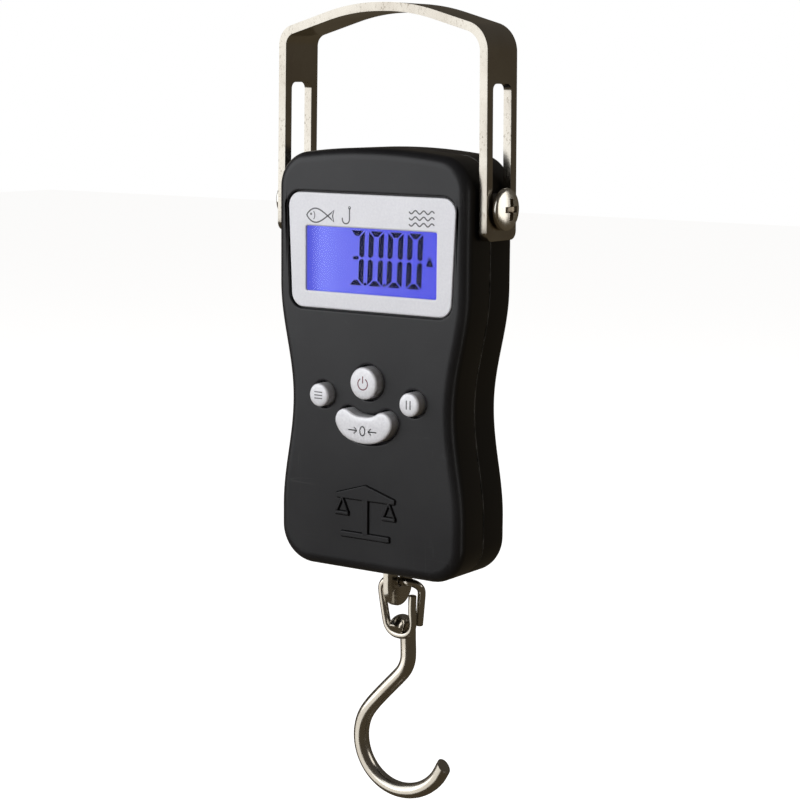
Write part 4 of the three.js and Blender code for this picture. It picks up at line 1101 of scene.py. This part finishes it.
def figures():
    """The figures 3 0 0 0 with a point after the first two, and a small weight at the right."""
    skin = Skin()
    three = ("top", "upper_right", "middle", "lower_right", "bottom")
    nought = ("top", "upper_right", "lower_right", "bottom", "lower_left", "upper_left")
    for k in range(4):
        digit(skin, -5.2 + 5.8 * k, three if k == 0 else nought)
    for k in (0, 1):
        plate(skin, circle(-2.55 + 5.8 * k, -19.55, 0.4, 16), GLASS_FACE - 0.12, GLASS_FACE - 0.02)
    weight = np.array([[15.6, -14.2], [17.6, -14.2], [17.1, -12.8], [16.1, -12.8]])
    plate(skin, weight, GLASS_FACE - 0.12, GLASS_FACE - 0.02)
    ribbon(skin, circle(16.6, -12.4, 0.34, 16), 0.22, GLASS_FACE - 0.1, closed=True)
    return skin


piece("display_figures", figures(), digit_dark, "case")


# ---------------------------------------------------------------- keys
KEY_FACE = FRONT - 2.4
FLANGE_FRONT, FLANGE_BACK = INNER_FRONT + 0.3, INNER_FRONT + 1.1


def round_key(x, z, radius):
    """A turned key: a nearly flat cap with a soft shoulder, a straight wall, a flange and a nub."""
    dome = [(r * radius, KEY_FACE + 0.06 * (r / 0.72) ** 2) for r in (0, 0.2, 0.4, 0.6, 0.72)]
    shoulder = [(radius - 0.62 * (1 - math.sin(a)), KEY_FACE + 0.1 + 0.62 * (1 - math.cos(a)))
                for a in np.linspace(0.25, np.pi / 2, 9)]
    skin = Skin()
    turned(skin, [*dome, *shoulder, (radius, FRONT + 0.2), (radius, FLANGE_FRONT),
                  (radius + 1.2, FLANGE_FRONT),
                  (radius + 1.2, FLANGE_BACK), (1.2, FLANGE_BACK), (1.2, FLANGE_BACK + 0.8)], 72)
    return skin.move(shift=(x, 0, z))


def kidney_key():
    """The crescent key: its outline carried up a straight wall and over a soft shoulder."""
    skin = Skin()
    loop = kidney_outline()
    shoulder = [(0.6 * (1 - math.sin(a)), KEY_FACE + 0.06 + 0.6 * (1 - math.cos(a)))
                for a in np.linspace(np.pi / 2, 0.2, 9)]
    cap = walls(skin, loop, [(0, FLANGE_FRONT + 0.2), *shoulder, (0.9, KEY_FACE + 0.02), (1.2, KEY_FACE)])
    skin.fill(cap[0])
    skin.fill(cap[-1])
    plate(skin, kidney_outline(0.9), FLANGE_FRONT, FLANGE_BACK)
    nub = Skin()
    turned(nub, [(1.2, FLANGE_BACK - 0.1), (1.2, FLANGE_BACK + 0.8)], 24)
    skin.add(nub.move(shift=(0, 0, -55.55)))
    return skin


def key_marks(name, x, z):
    """Each key's sign: three bars for set, two upright bars for hold, a broken ring with a stroke
    for power, and arrows that meet at a nought for tare."""
    skin = Skin()
    cap = KEY_FACE + 0.02
    if name == "set":
        for level in (-0.8, 0.0, 0.8):
            ribbon(skin, [[x - 1.1, z + level], [x + 1.1, z + level]], 0.26, cap)
    elif name == "hold":
        for side in (-1, 1):
            ribbon(skin, [[x + side * 0.55, z - 0.95], [x + side * 0.55, z + 0.95]], 0.34, cap)
    elif name == "power":
        ribbon(skin, arc((x, z - 0.1), 1.45, 125, 415, 40), 0.3, cap)
        ribbon(skin, [[x, z + 0.2], [x, z + 1.7]], 0.3, cap)
    else:
        turn = np.linspace(0, TURN, 40, endpoint=False)
        ribbon(skin, np.stack([0.75 * np.cos(turn), -55.7 + 1.15 * np.sin(turn)], 1), 0.3, cap, closed=True)
        for side in (-1, 1):
            ribbon(skin, [[side * 4.2, -55.7], [side * 1.75, -55.7]], 0.3, cap)
            ribbon(skin, [[side * 2.5, -54.95], [side * 1.7, -55.7], [side * 2.5, -56.45]], 0.3, cap)
    return skin


def below_cap(centres):
    """The part of a key that the paint doesn't reach: black moulding, kept dark so that, seen through the
    gap round the key, it also gives that gap painted shade.
    """
    return centres[:, 1] > FLANGE_FRONT - 0.5


# Below the paint each key is dark: unpainted moulding, and also painted shade in the gap round the key.
for key_name, (key_x, key_z, key_radius) in KEYS.items():
    key = piece(f"{key_name}_key", round_key(key_x, key_z, key_radius), button_paint,
                f"{key_name}_button", [f"{key_name}_button"])
    second_finish(key, rubber_dark, below_cap)
    piece(f"{key_name}_key_mark", key_marks(key_name, key_x, key_z),
          print_red if key_name == "power" else print_grey, f"{key_name}_button")
key = piece("tare_key", kidney_key(), button_paint, "tare_button", ["tare_button"])
second_finish(key, rubber_dark, below_cap)
piece("tare_key_mark", key_marks("tare", 0, 0), print_grey, "tare_button")


# ---------------------------------------------------------------- bail
STRAP_HALF, STRAP_THICK = 6.7, 2.15
LEG_INNER = CASE_HALF + 0.6
TAIL = -7.6
GRIP = -PIVOT_HEIGHT / MM


def bail_line():
    """The strap's middle line from the right tail over the arch to the left tail, in x and z. The
    right elbow is bent a little rounder than the left one."""
    middle = STRAP_THICK / 2
    leg = lambda z: LEG_INNER - 0.01 * z + middle
    shoulder = 42.1 + middle
    crown = GRIP + middle
    slope = (crown - shoulder) / (LEG_INNER - 8.5 - 3.6)
    half = [[leg(TAIL), TAIL, 0], [leg(shoulder), shoulder - slope * 3.6, 4.0], [8.5, crown, 55]]
    other = [[-x, z, r] for x, z, r in half[::-1]]
    half[1][2] = 6.2
    return rounded(half + other, 24, closed=False)


def strap():
    """A flat pattern of length and width, with a slot in each leg, laid along the bent line.
    Round each slot the pattern is drawn between the slot's outline and the leg's outline."""
    line = bail_line()
    gone = np.concatenate([[0], np.cumsum(np.linalg.norm(np.diff(line, axis=0), axis=1))])
    total = gone[-1]

    def lay(pattern):
        """Pattern points (s, w) laid on the middle line."""
        x, z = (np.interp(pattern[:, 0], gone, line[:, k]) for k in (0, 1))
        return np.stack([x, pattern[:, 1], z], 1)

    leg_end = 44.0
    foot = -TAIL
    slot_top = 29.9 + foot
    slot = np.concatenate([
        arc((foot, 0), 4.1, 180, 90, 13),
        np.stack([np.linspace(foot, slot_top - 1.6, 14)[1:-1], np.full(12, 4.1)], 1),
        arc((slot_top - 1.6, 2.5), 1.6, 90, 0, 7),
        np.stack([np.full(4, slot_top), np.linspace(2.5, 0, 5)[1:]], 1)])
    edge = np.concatenate([
        np.stack([np.zeros(6), np.linspace(0, 4.5, 7)[:-1]], 1),
        arc((2.2, 4.5), 2.2, 180, 90, 7),
        np.stack([np.linspace(2.2, slot_top - 1.6, 14)[1:-1], np.full(12, STRAP_HALF)], 1),
        np.stack([np.linspace(slot_top - 1.6, leg_end, 7), np.full(7, STRAP_HALF)], 1),
        np.stack([np.full(4, leg_end), np.linspace(STRAP_HALF, 0, 5)[1:]], 1)])
    mirror = lambda half: np.concatenate([half, (half[1:-1] * [1, -1])[::-1]])
    slot, edge = mirror(slot), mirror(edge)
    top_from = 13 + 12 + 7 - 1
    top_points = edge[top_from:len(edge) - top_from + 1]
    bend = np.unique(np.concatenate([
        np.linspace(leg_end, total - leg_end, 60), gone[(gone > leg_end) & (gone < total - leg_end)]]))
    skin = Skin()
    rows = [slot + (edge - slot) * k / 4 for k in range(5)]
    skin.stack([lay(row) for row in rows])
    skin.stack([lay(np.stack([total - row[:, 0], row[:, 1]], 1)) for row in rows])
    across = top_points[:, 1]
    skin.stack([lay(np.stack([np.full(len(across), s), across], 1)) for s in bend], closed=False)
    return skin


def make_bail():
    """The pattern thickened to the strap's gauge, then its edges eased."""
    made = bpy.data.objects.new("bail", mesh_of("bail", strap()))
    bpy.context.scene.collection.objects.link(made)
    thick = made.modifiers.new("gauge", "SOLIDIFY")
    thick.thickness = STRAP_THICK * MM
    thick.offset = 0
    thick.use_even_offset = True
    eased = made.modifiers.new("eased", "BEVEL")
    eased.width = 0.00032
    eased.segments = 4
    eased.limit_method = "ANGLE"
    eased.angle_limit = math.radians(50)
    settle(made, 40)
    made.data.materials.append(bail_nickel)
    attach(made, "bail")
    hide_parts("bail_strap")


make_bail()


# ---------------------------------------------------------------- pivot screws and bushes
HEAD_START = LEG_INNER + STRAP_THICK + 0.6
HEAD, HEAD_HEIGHT = 10.3, 2.38


def dome_height(share, height):
    """How high a pan head stands at a share of its radius: a flattened half circle."""
    return height - 0.64 * height * (1 - np.sqrt(1 - share ** 2))


def cross_screw(head, height, shank, inner_end, start, reach, wide, deep):
    """A pan head along x with a cross recess, from a square grid bent into a disc: inside the recess
    the grid lines run with its sides, outside they turn into circles. The head falls away from
    its middle as a flattened dome, and the recess sinks with sloping walls."""
    radius = head / 2
    inside = [0, wide * 0.45, wide, wide * 1.35, reach * 0.62, reach * 0.8, reach, reach * 1.12]
    outside = list(radius * np.sin(np.linspace(math.asin(reach * 1.12 / radius), np.pi / 2, 14))[1:])
    half = np.array(inside + outside)
    axis = np.concatenate([-half[:0:-1], half])
    u, v = np.meshgrid(axis, axis, indexing="ij")
    largest = np.maximum(np.abs(u), np.abs(v))
    length = np.hypot(u, v)
    round_share = np.clip((largest - reach * 1.12) / (radius - reach * 1.12), 0, 1)
    scale = np.where(length > 0, largest / np.maximum(length, 1e-9), 1)
    bend = 1 + (scale - 1) * round_share ** 0.6
    y, z = u * bend, v * bend
    r = np.clip(np.hypot(y, z) / radius, 0, 1)
    dome = dome_height(r, height)
    small, large = np.minimum(np.abs(u), np.abs(v)), np.maximum(np.abs(u), np.abs(v))
    arm = (np.clip((wide * 1.35 - small) / (wide * 0.35), 0, 1)
           * np.clip((reach * 1.12 - large) / (reach * 0.14), 0, 1))
    x = start + dome - deep * arm * (1 - 0.35 * np.clip(large / reach, 0, 1))
    grid = np.stack([x, y, z], 2)
    skin = Skin()
    index = skin.stack(list(grid), closed=False)
    border = np.concatenate([[row[0] for row in index[:-1]], index[-1][:-1],
                             [row[-1] for row in index[:0:-1]], index[0][:0:-1]])
    rim_points = np.concatenate(skin.rows)[border]
    angle = np.arctan2(rim_points[:, 2], rim_points[:, 1])
    rings = []
    for ring_radius, along in ((radius, start + 0.30), (radius - 0.12, start + 0.06),
                               (radius - 0.3, start), (shank / 2, start),
                               (shank / 2, inner_end + 0.6), (shank / 2 - 0.4, inner_end)):
        rings.append(np.stack([np.full(len(angle), along), ring_radius * np.cos(angle),
                               ring_radius * np.sin(angle)], 1))
    lower = skin.stack(rings)
    skin.strip(border, lower[0])
    skin.fill(lower[-1])
    return skin


def in_recess(centres):
    """Faces sunk more than 0.15 under the dome of a pivot screw's head, inside the cross, which get a
    darker plate: painted shade in the recess.
    """
    r = np.hypot(centres[:, 1], centres[:, 2])
    up = np.abs(centres[:, 0]) - HEAD_START
    dome = dome_height(np.clip(r / (HEAD / 2), 0, 1), HEAD_HEIGHT)
    return (up < dome - 0.15) & (r < 2.7) & (up > 0.5)


for side_name, mirrored in (("right", False), ("left", True)):
    screw = cross_screw(HEAD, HEAD_HEIGHT, 4.4, 22.6, HEAD_START, 2.35, 0.55, 1.25)
    if mirrored:
        screw.move(HALF_TURN)
    head = piece(f"{side_name}_screw", screw, screw_nickel, "case",
                 [f"{side_name}_pivot_screw"], sharp=38)
    # The cross recess gets the darker nickel: painted shade.
    second_finish(head, recess_painted_shade, in_recess)
    bush = Skin()
    ends = (CASE_HALF + 0.3, LEG_INNER + STRAP_THICK + 0.3)
    index = bush.stack(spun([(2.5, ends[0]), (3.6, ends[0]), (3.8, ends[0] + 0.2),
                             (3.8, ends[1] - 0.2), (3.6, ends[1]), (2.5, ends[1])], 56, "x"))
    bush.strip(index[-1], index[0])
    if mirrored:
        bush.move(HALF_TURN)
    piece(f"{side_name}_bushing", bush, plain_steel, "pivot_bushes", [f"{side_name}_bush"])

CASE_SCREW_SEAT = 2.5

# Heads only, turned to lie along y and face the back.
for number, (screw_x, screw_z) in enumerate(SCREW_SPOTS, 1):
    screw = cross_screw(4.6, 1.6, 2.1, 0, 0, 1.3, 0.3, 0.7)
    screw.rows = [row[:, [1, 0, 2]] + [screw_x, CASE_SCREW_SEAT, screw_z] for row in screw.rows]
    piece(f"case_screw_head_{number}", screw, plain_steel, "case", [f"case_screw_{number}"])


# ---------------------------------------------------------------- tongue, link and hook
def tongue():
    """A plate 1.7 thick with a round end, a hole for the link and one for its pin."""
    skin = Skin()
    front_y, back_y, top = LOAD_Y - 5.7, LOAD_Y + 5.3, -69.2
    end = -97.7
    radius = (back_y - front_y) / 2
    middle = (front_y + back_y) / 2
    outline = np.concatenate([[[back_y, top]], [[front_y, top]], arc((middle, end), radius, 180, 360, 40)])
    hole = arc((LOAD_Y, -96.55), 1.7, 0, 360, 49)[:-1]
    pin = arc((LOAD_Y, -73.0), 1.8, 0, 360, 33)[:-1]

    def on(loop, x, inset=0.0, sign=1):
        flat = drawn_in(loop, sign * inset)
        return np.stack([np.full(len(flat), x), flat[:, 0], flat[:, 1]], 1)

    edge = 0.22
    steps = [(edge, -0.85), (edge * 0.3, -0.85 + edge * 0.3), (0, -0.85 + edge), (0, 0.85 - edge),
             (edge * 0.3, 0.85 - edge * 0.3), (edge, 0.85)]
    sets = []
    for loop, sign in ((outline, 1), (hole, -1), (pin, -1)):
        sets.append(skin.stack([on(loop, x, inset, sign) for inset, x in steps]))
    skin.fill(*[s[0] for s in sets])
    skin.fill(*[s[-1] for s in sets])
    return skin


piece("tongue", tongue(), hook_nickel, "case", ["hook_tongue"], sharp=30)

LINK_TOP, LINK_BOTTOM, LINK_HALF, LINK_WIRE = -96.9, -111.05, 5.45, 2.1


def link_path():
    """The bent wire from its cut end down the right, across the bottom, up the left, through the
    tongue and down behind itself, shifting back by a wire and a bit where it laps."""
    outline = rounded([
        [LINK_HALF - 1, LINK_TOP - 3.2, 0], [LINK_HALF - 1.1, LINK_TOP - 7, 8],
        [LINK_HALF - 0.7, LINK_BOTTOM, 3.4], [-LINK_HALF + 2.5, LINK_BOTTOM, 3.9],
        [-LINK_HALF - 0.15, LINK_TOP, 2.6], [LINK_HALF + 0.35, LINK_TOP, 2.6],
        [LINK_HALF + 0.1, LINK_TOP - 5, 6], [LINK_HALF - 0.5, LINK_BOTTOM + 2.6, 0]], 6, closed=False)
    places = np.arange(len(outline))
    top = places[(places > 12) & (outline[:, 0] > 0.9) & (outline[:, 1] > LINK_TOP - 1)][0]
    depth = (LINK_WIRE + 0.3) * ease((places - top + 1) / 6)
    return spline(np.stack([outline[:, 0], depth + LOAD_Y, outline[:, 1]], 1), 200)


link_skin = Skin()
link_line = link_path()
tube(link_skin, link_line, np.tile([0.0, 1.0, 0.0], (200, 1)), LINK_WIRE / 2, 28, 0.18)
piece("link", link_skin, hook_nickel, "hook_link", ["hook_link"])

HOOK_WIRE, HOOK_X, BOW_Z, BOW_RADIUS = 4.1, 0.95, -140.4, 12.8


def hook_path():
    """From the open end in front of the link's bar, over it, down behind it and round the bow."""
    curl = (LINK_WIRE + HOOK_WIRE) / 2 + 0.3
    angle = np.radians(np.maximum(145 - 24.2 * np.arange(6), 0))
    over = np.stack([np.full(6, HOOK_X), curl * np.cos(angle), LINK_BOTTOM + curl * np.sin(angle)], 1)
    bow_y, bow_x = 1.6, 0.3
    tip_radius = BOW_RADIUS + 1.7
    start = math.radians(138)
    start_x, start_z = bow_x + BOW_RADIUS * math.cos(start), BOW_Z + BOW_RADIUS * math.sin(start)
    bend_z = start_z + (HOOK_X + 0.5 - start_x) / math.tan(math.pi - start)
    shank = rounded([[HOOK_X, LINK_BOTTOM - 2, 0], [HOOK_X + 0.5, bend_z, 7], [start_x, start_z, 0]],
                    6, closed=False)[:-1]
    lean = ease((LINK_BOTTOM - shank[:, 1]) / 22)
    down = np.stack([shank[:, 0], curl + (bow_y - curl) * lean, shank[:, 1]], 1)
    bow = arc((bow_x, BOW_Z), BOW_RADIUS, 138, 270, 8)
    tip = arc((bow_x, BOW_Z - BOW_RADIUS + tip_radius), tip_radius, 270, 338, 5)[1:]
    round_part = np.concatenate([bow, tip])
    flat = np.stack([round_part[:, 0], np.full(len(round_part), bow_y), round_part[:, 1]], 1)
    return spline(np.concatenate([over, down, flat]) + [0, LOAD_Y, 0], 360)


hook_line = hook_path()
swing = ease((np.arange(360) - 60) / 60)[:, None] * math.pi / 2
hook_side = np.cos(swing) * [1.0, 0.0, 0.0] + np.sin(swing) * [0.0, 1.0, 0.0]
hook_skin = Skin()
tube(hook_skin, hook_line, hook_side, HOOK_WIRE / 2, 40, 0.3, np.array([0.80, 0.0, 0.60]))
piece("bent_hook", hook_skin, hook_nickel, "hook", ["hook"])


# ---------------------------------------------------------------- batteries
def battery(depth, level, side):
    """A cell turned about x: wrap, crimped shoulders and the raised plus end."""
    radius = 5.25
    start, end = -22.25, 22.25
    profile = [(0, start), (radius - 1.2, start), (radius - 0.5, start + 0.1),
               (radius - 0.1, start + 0.35), (radius, start + 0.8), (radius, end - 1.9),
               (radius - 0.15, end - 1.45),
               (radius - 0.6, end - 1.15), (2.2, end - 1.05), (1.95, end - 0.95), (1.9, end - 0.15),
               (1.7, end), (0, end)]
    skin = Skin()
    turned(skin, profile, 56, "x")
    if side < 0:
        skin.move(HALF_TURN)
    return skin.move(shift=(1.7 * side, depth, level))


for number, (level, side) in enumerate(((-11.5, 1), (-22.8, -1)), 1):
    low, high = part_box(f"battery_{number}")
    cell = battery((low.y + high.y) / 2 / MM, level, side)
    piece(f"cell_{number}", cell, cell_wrap, "case", [f"battery_{number}"])


# ---------------------------------------------------------------- finishes of the CAD pieces kept
KEPT = {
    "lcd_glass": display_blue, "backlight": backlight_white, "upper_zebra_strip": rubber_dark,
    "lower_zebra_strip": rubber_dark, "main_board": board_green, "controller_chip": chip_black,
    "buzzer": chip_black, "hanger_frame": plain_steel, "load_cell": cell_alloy,
    "tongue_pin": plain_steel, "left_strain_gauge": gauge_amber, "right_strain_gauge": gauge_amber,
    "battery_lead_red": lead_red, "battery_lead_black": lead_black, "cell_lead": label_white,
    **{f"{key}_switch": chip_black for key in ("set", "hold", "power", "tare")},
    **{f"board_screw_{k}": plain_steel for k in range(1, 5)},
    **{f"cell_bolt_{k}": plain_steel for k in (1, 2)},
    **{f"battery_{part}_{k}": contact_brass for part in ("contact", "spring") for k in (1, 2)},
}
for node_name, look in KEPT.items():
    mesh = NODES[node_name].data
    mesh.materials.clear()
    mesh.materials.append(look)


def shine_on(lamp, *pieces):
    """Lets one lamp light only the pieces named."""
    lit = bpy.data.collections.new(f"{lamp}_pieces")
    for name in pieces:
        lit.objects.link(bpy.data.objects[name])
    bpy.data.objects[lamp].light_linking.receiver_collection = lit


shine_on("hook_box", "bent_hook", "link", "tongue")
shine_on("hook_glint", "bent_hook", "link", "tongue")
shine_on("fillet_strip", "case_front", "case_back")
shine_on("screw_box", "right_screw", "left_screw")
